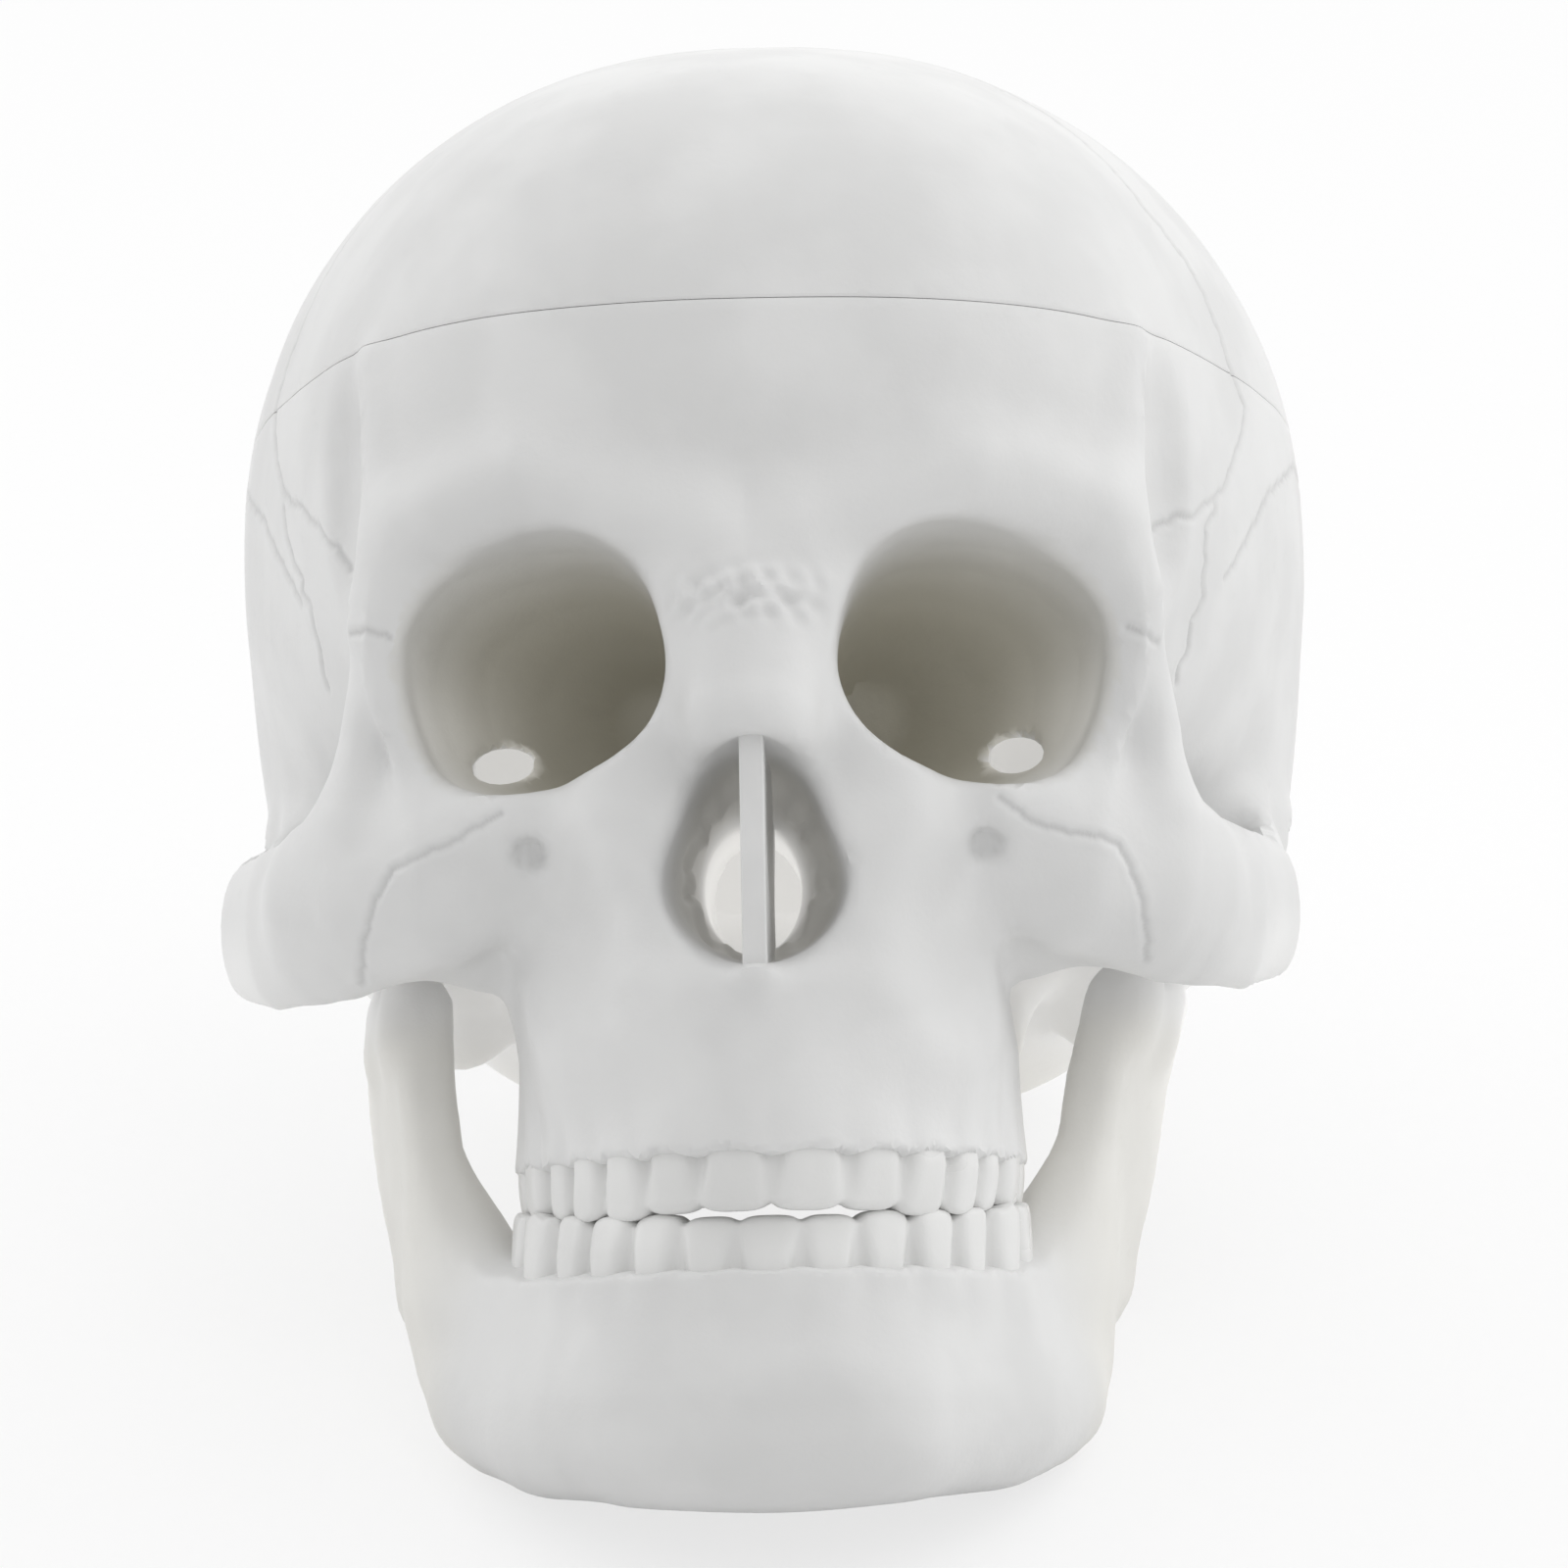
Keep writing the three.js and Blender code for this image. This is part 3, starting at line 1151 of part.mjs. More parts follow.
for (const [side, mirror] of [['right', null], ['left', mirrorX]]) {
  const sided = (geometry) => (mirror ? mirrored(geometry, mirror) : geometry);
  const set = (geometry, frame) => sided(geometry.clone().applyMatrix4(frame));
  skull.add(
    piece(`jaw_spring_${side}`, sided(springGeometry), steel),
    piece(`spring_screw_upper_${side}`, set(springScrew, springScrewFrame(upperSeat)), steel),
    piece(`hook_pivot_screw_${side}`,
      set(hookScrew, frameAt(pivotAt, hookHang, hookAcross, hookOut)), steel),
    piece(`catch_screw_${side}`,
      set(catchScrew, frameAt(catchFoot, hookHang, hookAcross, hookOut)), steel));
  jaw.add(piece(`spring_screw_lower_${side}`,
    fromHinge(set(springScrew, springScrewFrame(lowerSeat))), steel));
  const hookHinge = new THREE.Group();
  hookHinge.name = `cap_hook_${side}_hinge`;
  const at = pivotAt.clone();
  const [arm, across, out] = [hookHang.clone(), hookAcross.clone(), hookOut.clone()];
  if (mirror) {
    [at, arm, across, out].forEach((vector) => vector.applyMatrix4(mirror));
    out.negate();
  }
  frameAt(at, arm, across, out).decompose(
    hookHinge.position, hookHinge.quaternion, hookHinge.scale);
  const flat = mirror ? mirrored(hookGeometry(), new THREE.Matrix4().makeScale(1, 1, -1))
    : hookGeometry();
  hookHinge.add(piece(`cap_hook_${side}`, flat, steel));
  skull.add(hookHinge);
}

// Lean the skull back onto its rests, and stand it on the floor over the origin

skull.rotation.x = -LEAN;
const part = new THREE.Group();
part.add(skull);
part.updateMatrixWorld(true);
const bounds = new THREE.Box3().setFromObject(part, true);
skull.position.set(0, -(bounds.min.y + bounds.max.y) / 2, -floorHeight);

export default part;
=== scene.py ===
"""Human skull model in white plastic: the detailed bones, teeth and metal fittings that
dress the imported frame, their finishes, and the studio that they stand in.

Bones and teeth are written as distance forms in the skull's own frame, in millimetres:
x to the side, y back from the ear holes, z up. The right half is written and the left
mirrors it. They are laid back onto the table by the frame that the joints give.
"""

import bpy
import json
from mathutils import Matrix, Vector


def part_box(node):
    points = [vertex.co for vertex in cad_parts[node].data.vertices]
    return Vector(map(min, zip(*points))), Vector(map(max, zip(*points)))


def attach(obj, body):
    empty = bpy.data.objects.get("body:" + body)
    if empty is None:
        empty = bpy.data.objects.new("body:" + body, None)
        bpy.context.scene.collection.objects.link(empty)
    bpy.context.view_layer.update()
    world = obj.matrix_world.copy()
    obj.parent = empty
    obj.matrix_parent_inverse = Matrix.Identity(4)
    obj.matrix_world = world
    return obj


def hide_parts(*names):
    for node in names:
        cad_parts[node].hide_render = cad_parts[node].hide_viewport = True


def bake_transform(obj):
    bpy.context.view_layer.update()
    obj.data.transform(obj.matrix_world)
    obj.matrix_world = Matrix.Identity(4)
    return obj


bl_info = {
    "name": "Human Skull Model",
    "version": (1, 0, 0),
    "blender": (4, 5, 0),
    "location": "View3D > Sidebar > Skull",
    "description": "Models a life-size plastic skull with a lift-off cap and a hinged jaw",
    "category": "Object",
}

import json
import math

import bmesh
import bpy
import numpy as np
from mathutils import Matrix, Vector

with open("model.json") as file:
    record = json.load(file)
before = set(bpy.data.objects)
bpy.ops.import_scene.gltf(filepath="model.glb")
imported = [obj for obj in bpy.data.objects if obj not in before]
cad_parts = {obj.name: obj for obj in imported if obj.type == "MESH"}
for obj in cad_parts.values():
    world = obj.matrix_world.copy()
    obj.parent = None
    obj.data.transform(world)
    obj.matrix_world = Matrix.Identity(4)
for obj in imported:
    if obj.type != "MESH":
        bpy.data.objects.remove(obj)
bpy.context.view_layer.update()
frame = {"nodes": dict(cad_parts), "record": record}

MM = 0.001
ENDLESS = math.inf

# Added to divisors that can be zero, and a distance in millimetres that no form reaches
TINY, SMALL = 1e-9, 1e-6
FAR = 1e6

# The skull's own frame, laid back onto the table

JOINTS = {joint["name"]: joint for joint in frame["record"]["behaviour"]["joints"]}
CONDYLE = np.array([50.0, -12.0, -6.0])
SKULL_UP = np.array(JOINTS["cap_lift"]["axis"], float)
LEAN = math.atan2(SKULL_UP[1], SKULL_UP[2])
LAID_BACK = np.array([
    [1, 0, 0],
    [0, math.cos(LEAN), math.sin(LEAN)],
    [0, -math.sin(LEAN), math.cos(LEAN)],
])
JAW_HINGE = np.array(JOINTS["jaw_hinge"]["pos_m"], float) / MM
STANDING_AT = JAW_HINGE - LAID_BACK @ (CONDYLE * (0, 1, 1))
JAW_OPENING = math.radians(JOINTS["jaw_hinge"]["range_deg"][1])

PEGS = ("cap_pin_front", "cap_pin_back_left", "cap_pin_back_right")
SIDES = {"right": 1, "left": -1}
HOOK_OUT = {
    side: Vector(JOINTS[f"{side}_hook_swing"]["axis"]) * way for side, way in SIDES.items()}


def in_row(points):
    """Skull-frame millimetres to row-frame metres, kept on or above the table."""
    placed = (np.asarray(points, float) @ LAID_BACK.T + STANDING_AT) * MM
    placed[..., 2] = np.maximum(placed[..., 2], 0)
    return placed


def in_skull(points):
    """Row-frame metres to skull-frame millimetres."""
    return (np.asarray(points, float) / MM - STANDING_AT) @ LAID_BACK


# Distance forms: each maker returns a function of an (n, 3) array, negative inside

def ball(centre, radii, power=2.0):
    """An ellipsoid, or a boxier body where the power is above 2."""
    centre, radii = np.array(centre, float), np.array(radii, float)

    def form(p):
        u = np.abs(p - centre) / radii
        reach = (u ** power).sum(1) ** (1 / power) + TINY
        slope = np.sqrt(((u ** (power - 1) / radii) ** 2).sum(1)) / reach ** (power - 1)
        return np.maximum((reach - 1) / (slope + TINY), -radii.min())
    return form


def limb(start, start_radius, end, end_radius, stretch=(1, 1, 1)):
    """A straight tapering limb with round ends, drawn out along the axes by stretch."""
    start, stretch = np.array(start, float), np.array(stretch, float)
    run = (np.array(end, float) - start) / stretch
    square = run @ run

    def form(p):
        q = (p - start) / stretch
        t = np.clip(q @ run / square, 0, 1)
        d = q - t[:, None] * run
        away = np.sqrt((d * d).sum(1)) + TINY
        slope = np.sqrt(((d / stretch) ** 2).sum(1)) / away + TINY
        return (away - start_radius - (end_radius - start_radius) * t) / slope
    return form


def chain(points, stretch=(1, 1, 1)):
    """Limbs strung through points (x, y, z, radius)."""
    limbs = [limb(a[:3], a[3], b[:3], b[3], stretch) for a, b in zip(points, points[1:])]

    def form(p):
        return np.minimum.reduce([piece(p) for piece in limbs])
    return form


def passage(stations, power=2.0, tilt=0.0):
    """A passage running back through stations (y, x, z, half width, half height)."""
    table = np.array(stations, float)
    c, s = math.cos(tilt), math.sin(tilt)

    def form(p):
        x, y, z = p.T
        cx, cz, width, height = (np.interp(y, table[:, 0], table[:, k]) for k in range(1, 5))
        u = np.abs((x - cx) * c - (z - cz) * s) / width
        w = np.abs((x - cx) * s + (z - cz) * c) / height
        reach = (u ** power + w ** power) ** (1 / power) + SMALL
        slope = np.hypot(u ** (power - 1) / width, w ** (power - 1) / height)
        slope = slope / reach ** (power - 1) + TINY
        return np.maximum.reduce([(reach - 1) / slope, table[0, 0] - y, y - table[-1, 0]])
    return form


def behind(normal, point):
    """The half space behind a plane through a point."""
    normal = np.array(normal, float) / np.linalg.norm(normal)
    return lambda p: (p - np.array(point, float)) @ normal


def soft_min(a, b, blend):
    """The lesser of two distances, rounded where they differ by less than blend."""
    h = np.maximum(blend - np.abs(a - b), 0) / blend
    return np.minimum(a, b) - h * h * blend / 4


def join(blend, *forms):
    """Forms grown together."""
    def form(p):
        total = forms[0](p)
        for piece in forms[1:]:
            total = soft_min(total, piece(p), blend)
        return total
    return form


def carve(blend, body, *tools):
    """A body with tools taken out of it."""
    def form(p):
        rest = body(p)
        for tool in tools:
            rest = -soft_min(-rest, tool(p), blend)
        return rest
    return form


def within(blend, body, *bounds):
    """What of a body lies inside all of its bounds."""
    def form(p):
        rest = body(p)
        for bound in bounds:
            rest = -soft_min(-rest, -bound(p), blend)
        return rest
    return form


def grown(form, by):
    return lambda p: form(p) - by


def smooth_step(value, low, high):
    t = np.clip((value - low) / (high - low), 0, 1)
    return t * t * (3 - 2 * t)


# Braincase

VAULT_WALL = 5.5
CUT_HEIGHT = 58.5
SEAM = 0.1
REAR_CENTRE = (0, 12, 42.5)
FRONT_CENTRE = (0, -42, 44)

braincase = within(
    9,
    join(
        10,
        join(
            26,
            ball(REAR_CENTRE, (74.5, 75, 69.5), 2.2),
            ball(FRONT_CENTRE, (56, 53, 54.5), 2.3),
            ball((20, 42, -5), (30, 30, 25))),
        ball((52.5, 14, 10.5), (18, 30, 26))),
    behind((0, -0.632, -0.775), (0, -38, -8)))
cavity = grown(braincase, -VAULT_WALL)

# Eye sockets and nose

ORBIT = np.array([28.8, -88.0, 14.9])
ORBIT_TILT = math.radians(14)
ORBIT_NARROWING = [
    (-14, 0, 0, 18.25, 15.75), (-4, 0, 0, 18.1, 15.75), (4, 0.5, 0, 17.6, 15.6),
    (12, 1.8, 0.2, 16.9, 15.1), (20, 3.9, 0.5, 15.5, 13.9), (28, 6.8, 1, 13.1, 11.8),
    (36, 10.6, 1.6, 9.5, 8.6), (44, 15, 2, 4.5, 4.5)]
ORBIT_WALL = 3.4


def orbit_stations(narrowing):
    """Stations from (depth, inward shift, drop, half width, half height)."""
    return [(ORBIT[1] + depth, ORBIT[0] - inward, ORBIT[2] - drop, width, height)
            for depth, inward, drop, width, height in narrowing]


orbit = passage(orbit_stations(ORBIT_NARROWING), 2.4, ORBIT_TILT)
orbit_housing = passage(orbit_stations(
    [(depth, inward, drop, width + ORBIT_WALL, height + ORBIT_WALL)
     for depth, inward, drop, width, height in ORBIT_NARROWING if depth > 10]
    + [(48, 16, 2, 8.5, 8.5)]), 2.4, ORBIT_TILT)
orbital_fissure = limb((32.8, -66, 4.6), 2.15, (34.4, -24, 10.4), 3, (1.65, 1, 1))
cheek_pit = limb((29.4, -91, -12.6), 2.7, (28.3, -81.8, -8.3), 1.9)
cheek_hollow = ball((31, -93, -19), (11, 12, 14))

NASAL_MIDDLE_Z = -11
NASAL_RIM = (12.16, 0.17, 1.38, 0.91, 0.2)
NASAL_FRONT_Y = -112
NASAL_BACK_Y = -27
CHOANA_Y = -58
CHOANA = (6.2, 8.2)
NASAL_NARROWING = ((-92, -76, -73, CHOANA_Y), (0, 0.4, 0.72, 1))
RAGGED_SHELF = ((-82, -75, -66), (0, 0.55, 0))


def nasal_passage(p):
    """A pear-shaped opening that narrows to a ragged shelf and then a round hole."""
    x, y, z = p.T
    away, turn = np.hypot(x, z - NASAL_MIDDLE_Z), np.arctan2(x, z - NASAL_MIDDLE_Z)
    rim = sum(share * np.cos(n * turn) for n, share in enumerate(NASAL_RIM))
    hole = 1 / np.hypot(np.sin(turn) / CHOANA[0], np.cos(turn) / CHOANA[1])
    share = np.interp(y, *NASAL_NARROWING)
    ragged = np.sin(5 * turn + 1) + 0.7 * np.sin(11 * turn) + 0.5 * np.sin(17 * turn + 2)
    ragged *= np.interp(y, *RAGGED_SHELF)
    return np.maximum.reduce([
        away - rim - (hole - rim) * share - ragged, NASAL_FRONT_Y - y, y - NASAL_BACK_Y])


# Facial bones of one side, in the order in which they run down the face

brow_ridge = chain([
    (7, -87.4, 31, 6.1), (27, -86.2, 37, 5.3), (42, -78.6, 34, 5), (46.6, -71.5, 24, 4.2)])
temple_line = chain([(46.8, -71.5, 24, 3.6), (45.4, -75, 38, 3), (47.6, -70.5, 55, 2)])
cheekbone = chain([
    (30, -78, -6, 7.5), (39, -74, -9, 8.5), (48, -67.5, -10, 8.6), (55, -60, -12, 6.5),
], (1, 1, 1.45))
cheek_arch = chain([
    (52, -63, -12, 4.6), (62, -50, -13.5, 4.3), (67.5, -37, -12.5, 3.6),
    (66.5, -22, -7.5, 3.3), (62.5, -8, 1, 3.8), (63, 8, 7, 4),
], (1, 1, 2.5))
cheek_to_brow = limb((50.4, -67, -2), 4.8, (47.6, -70.5, 24), 3.8, (0.9, 1.35, 1))
temple_hollow = chain([
    (59.6, -70, 60, 8), (58.2, -69.5, 47, 9.5), (57.6, -69.5, 38, 9.5), (58.1, -69.5, 30, 9.5),
    (60.3, -69.5, 20, 9.5), (62.4, -69, 12, 9.5), (65, -68, 6, 9.5)])
cheek_crest = limb((45, -65, -12.5), 8, (34, -62, -15), 8.5)
nasal_bridge = limb((0, -84.5, 26), 9.6, (0, -92.5, 7), 7.8, (1.15, 1, 1))
maxilla_horn = limb((9, -84, 20), 7, (18, -82.5, -10), 8)
ethmoid = ball((0, -70, 12), (12, 22, 20), 2.5)
maxilla = ball((0, -65.5, -22), (30, 28.5, 27), 2.9)
front_spine = limb((0, -90, -27), 3.4, (0, -96.5, -25.5), 1.4)

# Underside of the base

clivus = limb((0, -46, 2), 11, (0, -2, -16), 9.5)
pterygoid = limb((17, -41, -5), 1.9, (20.5, -38, -36), 1.7, (1, 3.6, 1))
mastoid = limb((53, 8, -4), 12, (45, 6, -21), 7)
styloid = limb((33, -3, -16), 3.2, (27, -15.5, -43), 2)
occipital_condyle = ball((18, 4, -27), (6, 10, 7))
petrous_ridge = limb((62, 0, 1), 9.5, (22, -8, -6), 8)
inion = limb((-3, 70, 6), 8, (3, 70, 6), 8)
foramen_magnum = ball((0, 15, -28), (15, 18, 22), 2.4)
ear_canal = limb((72, 1, 0), 4.2, (52, 0, 1), 3.2)
socket_roof = ball((50, -11, 0), (15.5, 13, 10), 2.4)

# Teeth: one entry for each tooth from the middle back, as (width, neck, edge, cusps)

UPPER_GUM_Z = -47.1
LOWER_GUM_Z = -60.7
BITE_Z = -53.8
BITE_GAP = 0.4
BITE_RISE = 2.1
UPPER_ARCH = {
    "half_width": 27.4, "depth": 43.5, "back_y": -50, "start": 0, "neck": 0.94,
    "scallop": 0.7, "papilla": 0.15}
LOWER_ARCH = {
    "half_width": 28.8, "depth": 41.5, "back_y": -50, "start": -3.5, "neck": 0.82,
    "scallop": 0.4, "papilla": 0.15}
UPPER_TEETH = [
    (8.2, 6.8, 2.6, 0), (7.3, 6.4, 2.6, 0), (7.3, 7.6, 4.2, 0.3), (6.8, 8.6, 6.8, 0.6),
    (6.7, 8.8, 7.0, 0.6), (9.6, 10.4, 8.8, 0.8), (8.8, 10.2, 8.6, 0.8)]
LOWER_TEETH = [
    (7.0, 6.4, 2.6, 0), (6.6, 6.4, 2.8, 0), (6.8, 7.2, 3.4, 0.3), (7.2, 7.8, 5.2, 0.4),
    (7.2, 8.4, 7.0, 0.6), (10.0, 10.0, 8.8, 0.8), (9.6, 9.8, 8.6, 0.8)]
CROWN_HIDDEN = 3.0
CROWN_ROUNDNESS = 3.6
CROWN_EDGE_ROUNDING = 1.1
CROWN_LEAN = 0.2
EDGE_WIDTH = 1.02
CUSP_SINK = 0.65
MOLAR_WIDTH = 8
ROOT_ROUNDNESS = 2.6
ARCH_WALL = (2.1, 3.6)


def along_arch(arch, reach):
    """Places (x, y) along an arch from its front, and how far along each one is."""
    turn = np.arange(0, 4, 0.005)
    curved = np.minimum(turn, math.pi / 2)
    x = arch["half_width"] * np.sin(curved)
    y = arch["back_y"] - arch["depth"] * np.cos(curved) + (turn - curved) * arch["depth"]
    gone = np.concatenate([[0], np.cumsum(np.hypot(np.diff(x), np.diff(y)))])
    kept = gone < reach + 2
    return x[kept], y[kept], gone[kept]


def tooth_places(arch, teeth):
    """(place, along) of each tooth: its middle and its direction along the arch."""
    x, y, gone = along_arch(arch, sum(tooth[0] for tooth in teeth))
    places, start = [], arch["start"]
    for width, *_ in teeth:
        n = max(int(np.searchsorted(gone, start + width / 2)), 1)
        start += width
        run = np.array([x[n] - x[n - 1], y[n] - y[n - 1]])
        places.append((np.array([x[n], y[n]]), run / np.linalg.norm(run)))
    return places


def across_tooth(p, place, along):
    """How far points lie along the arch and out of it from a tooth's middle."""
    dx, dy = p[:, 0] - place[0], p[:, 1] - place[1]
    return dx * along[0] + dy * along[1], dx * along[1] - dy * along[0]


def tooth_row(arch, teeth, gum_z, edge_z):
    """Crowns stood along the arch, each tapering from its neck to its edge, in front of
    the wall that they are moulded with. The edges rise towards the back of the mouth."""
    down = math.copysign(1, edge_z - gum_z)
    places = tooth_places(arch, teeth)
    wall = arch_wall(arch, ARCH_WALL, -ENDLESS, ENDLESS, arch["back_y"] - 4)

    def crown(p, tall, tooth, place, along):
        width, neck, edge, cusps = tooth
        out = (p[:, 2] - gum_z) * down / tall
        t = np.clip(out, 0, 1)
        widened = arch["neck"] + (EDGE_WIDTH - arch["neck"]) * np.minimum(t * 1.5, 1)
        half_width = width / 2 * widened
        half_depth = (neck + (edge - neck) * t ** 1.5) / 2
        u, v = across_tooth(p, place, along)
        v = v - (neck - edge) * CROWN_LEAN * t
        a, b = np.abs(u) / half_width, np.abs(v) / half_depth
        section = (a ** CROWN_ROUNDNESS + b ** CROWN_ROUNDNESS) ** (1 / CROWN_ROUNDNESS)
        side = (section - 1) * np.minimum(half_width, half_depth)
        tip = (out - 1) * tall + 0.25 * np.minimum(a, 1.2) ** 4
        if cusps:
            waves = np.cos(u * 2 * math.pi / (width * (0.5 if width > MOLAR_WIDTH else 1)))
            bulge = cusps * (1 - np.minimum(b, 1) ** 2) * 0.8
            tip = tip + bulge - 0.25 * waves * cusps - CUSP_SINK
        body = -soft_min(-side, -tip, CROWN_EDGE_ROUNDING)
        return np.maximum(body, -out * tall - CROWN_HIDDEN)

    def form(p):
        edge = edge_z + BITE_RISE * smooth_step(p[:, 1], -88, -60)
        tall = np.abs(edge - gum_z)
        out = (p[:, 2] - gum_z) * down
        total = np.maximum.reduce([wall(p), out - tall + 1.2, -out - CROWN_HIDDEN])
        for tooth, (place, along) in zip(teeth, places):
            total = soft_min(total, crown(p, tall, tooth, place, along), 0.5)
        return total
    return form


def sockets(arch, teeth, gum_z, down, tall):
    """The bone round the roots, which ridges the jaw above each tooth."""
    places = tooth_places(arch, teeth)

    def form(p):
        total = np.full(len(p), FAR)
        for (width, neck, _, _), (place, along) in zip(teeth, places):
            deep = np.clip((gum_z - p[:, 2]) * down / tall, 0, 1)
            u, v = across_tooth(p, place, along)
            half_width = (width / 2 + 0.1) * (1 - 0.35 * deep)
            half_depth = (neck / 2 + 0.4) * (1 - 0.3 * deep)
            a, b = np.abs(u) / half_width, np.abs(v + deep) / half_depth
            section = (a ** ROOT_ROUNDNESS + b ** ROOT_ROUNDNESS) ** (1 / ROOT_ROUNDNESS)
            side = (section - 1) * np.minimum(half_width, half_depth)
            top = (gum_z - p[:, 2]) * down - tall
            total = soft_min(total, np.maximum(side, top), 1.6)
        return total
    return form


def gum_margin(arch, teeth, gum_z, down):
    """The scalloped edge of the bone: a bound that is negative on the bone's side."""
    places = tooth_places(arch, teeth)

    def bound(p):
        back = np.full(len(p), -arch["papilla"])
        for (width, *_), (place, along) in zip(teeth, places):
            u, v = across_tooth(p, place, along)
            arc = arch["scallop"] * (1 - (u / (width / 2)) ** 2) - arch["papilla"]
            near = np.abs(v) < 9
            back = np.where(near, np.maximum(back, np.minimum(arc, 1.2)), back)
        return (p[:, 2] - gum_z) * down + back
    return bound


def arch_wall(arch, thickness, low, high, back_y, rounding=4):
    """A wall that follows half an ellipse seen from above, between two heights. Its
    thickness is given as the half thickness at the front and at the back."""
    def curve(p):
        u = p[:, 0] / arch["half_width"]
        v = np.minimum((p[:, 1] - arch["back_y"]) / arch["depth"], 0)
        reach = np.hypot(u, v) + SMALL
        slope = np.hypot(u / arch["half_width"], v / arch["depth"]) / reach
        half = np.interp(
            p[:, 1], [arch["back_y"] - arch["depth"] + 6, arch["back_y"] - 8], thickness)
        return np.abs((reach - 1) / slope) - half
    return within(
        rounding, curve,
        lambda p: low - p[:, 2], lambda p: p[:, 2] - high, lambda p: p[:, 1] - back_y)


upper_ridge = within(
    0.9,
    join(2.2,
         arch_wall(UPPER_ARCH, (3.7, 4.6), UPPER_GUM_Z - 3, -24, UPPER_ARCH["back_y"] + 7),
         sockets(UPPER_ARCH, UPPER_TEETH, UPPER_GUM_Z, -1, 15)),
    gum_margin(UPPER_ARCH, UPPER_TEETH, UPPER_GUM_Z, -1))
palate = carve(
    0.1,
    ball((0, -60, UPPER_GUM_Z + 1), (UPPER_ARCH["half_width"] - 8, 27, 12), 2.6),
    lambda p: UPPER_GUM_Z + 10 - p[:, 2])

# Lower jaw

CHIN_Z = -86.9
condyle = ball(CONDYLE, (9.5, 5, 5))
jaw_border = chain([
    (0, -81, -80.1, 6.8), (17, -79, -80.1, 6.8), (28, -65, -79.7, 6.4),
    (36, -49, -76.5, 6), (40.5, -22, -63, 4.4)])
jaw_body = chain([
    (0, -84.5, -73, 5.8), (15, -81.5, -73, 6), (26, -68, -72, 6),
    (33, -55, -69, 6), (39, -42, -62, 5.4)], (1, 1, 2))
lower_ridge = within(
    0.9,
    join(2.2,
         arch_wall(LOWER_ARCH, (3.7, 5.4), -75, LOWER_GUM_Z + 3, LOWER_ARCH["back_y"] + 7),
         sockets(LOWER_ARCH, LOWER_TEETH, LOWER_GUM_Z, 1, 12)),
    gum_margin(LOWER_ARCH, LOWER_TEETH, LOWER_GUM_Z, 1))
CHIN_HALF_HEIGHT = 6.9
chin = ball((0, -86, CHIN_Z + CHIN_HALF_HEIGHT), (17, 6.5, CHIN_HALF_HEIGHT))
RAMUS = np.array([45.7, -30, -42])
RAMUS_HALF = np.array([3.75, 15.5, 22])
RAMUS_EDGE = 3


def ramus_plate(p):
    """The flat branch of the jaw, leaning back and flaring out as it rises. It thickens
    inward below its middle."""
    across, along, up = (p - RAMUS).T
    along = along - up * 0.3
    thicker = 0.09 * np.clip(-up, 0, 20)
    across = across - up * 0.16 - along * 0.26 + 0.005 * np.minimum(up, 0) ** 2 + thicker

    def beyond(value, half):
        return np.maximum(np.abs(value) - half + RAMUS_EDGE, 0)
    return np.sqrt(
        beyond(along, RAMUS_HALF[1]) ** 2 + beyond(up, RAMUS_HALF[2]) ** 2
        + beyond(across, RAMUS_HALF[0] + thicker) ** 2) - RAMUS_EDGE


coronoid = chain([
    (48, -34, -26, 4.2), (48.5, -37, -14, 2.6), (48.5, -38.5, -7, 1.5)], (0.8, 1.7, 1))
condyle_neck = limb((49, -20, -27), 4.6, (50, -13, -9), 3.6, (1.1, 1.05, 1))
tongue_room = ball((0, -55, -64), (LOWER_ARCH["half_width"] - 9.5, 30, 30), 2.4)
plain_jaw = join(10, jaw_border, jaw_body, chin, ramus_plate)
lower_jaw = carve(
    3, join(5, join(5, plain_jaw, lower_ridge), coronoid, condyle_neck, condyle), tongue_room)
SWEPT_STOPS = 4


def swept_jaw(p):
    """The jaw as it swings open, for the room that the base leaves it."""
    total = np.full(len(p), FAR)
    near = (p[:, 2] < CONDYLE[2] + 12) & (p[:, 0] > CONDYLE[0] - 18)
    q = p[near]
    least = np.full(len(q), FAR)
    for angle in np.linspace(0, JAW_OPENING, SWEPT_STOPS):
        c, s = math.cos(angle), math.sin(angle)
        dy, dz = q[:, 1] - CONDYLE[1], q[:, 2] - CONDYLE[2]
        turned = np.stack([q[:, 0], CONDYLE[1] + dy * c + dz * s,
                           CONDYLE[2] + dz * c - dy * s], 1)
        least = np.minimum(least, lower_jaw(turned))
    total[near] = least
    return total


# The whole fixed skull, before the saw cut

face_bones = join(
    5.5, brow_ridge, temple_line, cheekbone, cheek_to_brow, cheek_crest, nasal_bridge,
    maxilla_horn, ethmoid, maxilla, orbit_housing)
underside = join(5, clivus, mastoid, occipital_condyle, inion)
shell = carve(
    1.5,
    carve(
        1.2,
        join(6, braincase,
             carve(8, join(3.5, face_bones, upper_ridge), cheek_hollow), underside, cheek_arch),
        temple_hollow),
    cavity)
solid_skull = join(
    4, shell, petrous_ridge, socket_roof, within(2, orbit_housing, grown(braincase, -1)),
    join(1.5, pterygoid, styloid, front_spine))
fixed_skull = carve(
    1.5,
    carve(
        2.2,
        carve(1, solid_skull, orbit, orbital_fissure, foramen_magnum, ear_canal),
        nasal_passage, cheek_pit),
    palate,
    grown(swept_jaw, 1))

# Skin of a form: one point to each cell that the surface crosses, four cells to a face

BLOCK = 4
SPARE_REACH = 1.6
SETTLING_ROUNDS = 12
JUST_INSIDE = -1e-3
CORNERS = [(i, j, k) for i in (0, 1) for j in (0, 1) for k in (0, 1)]


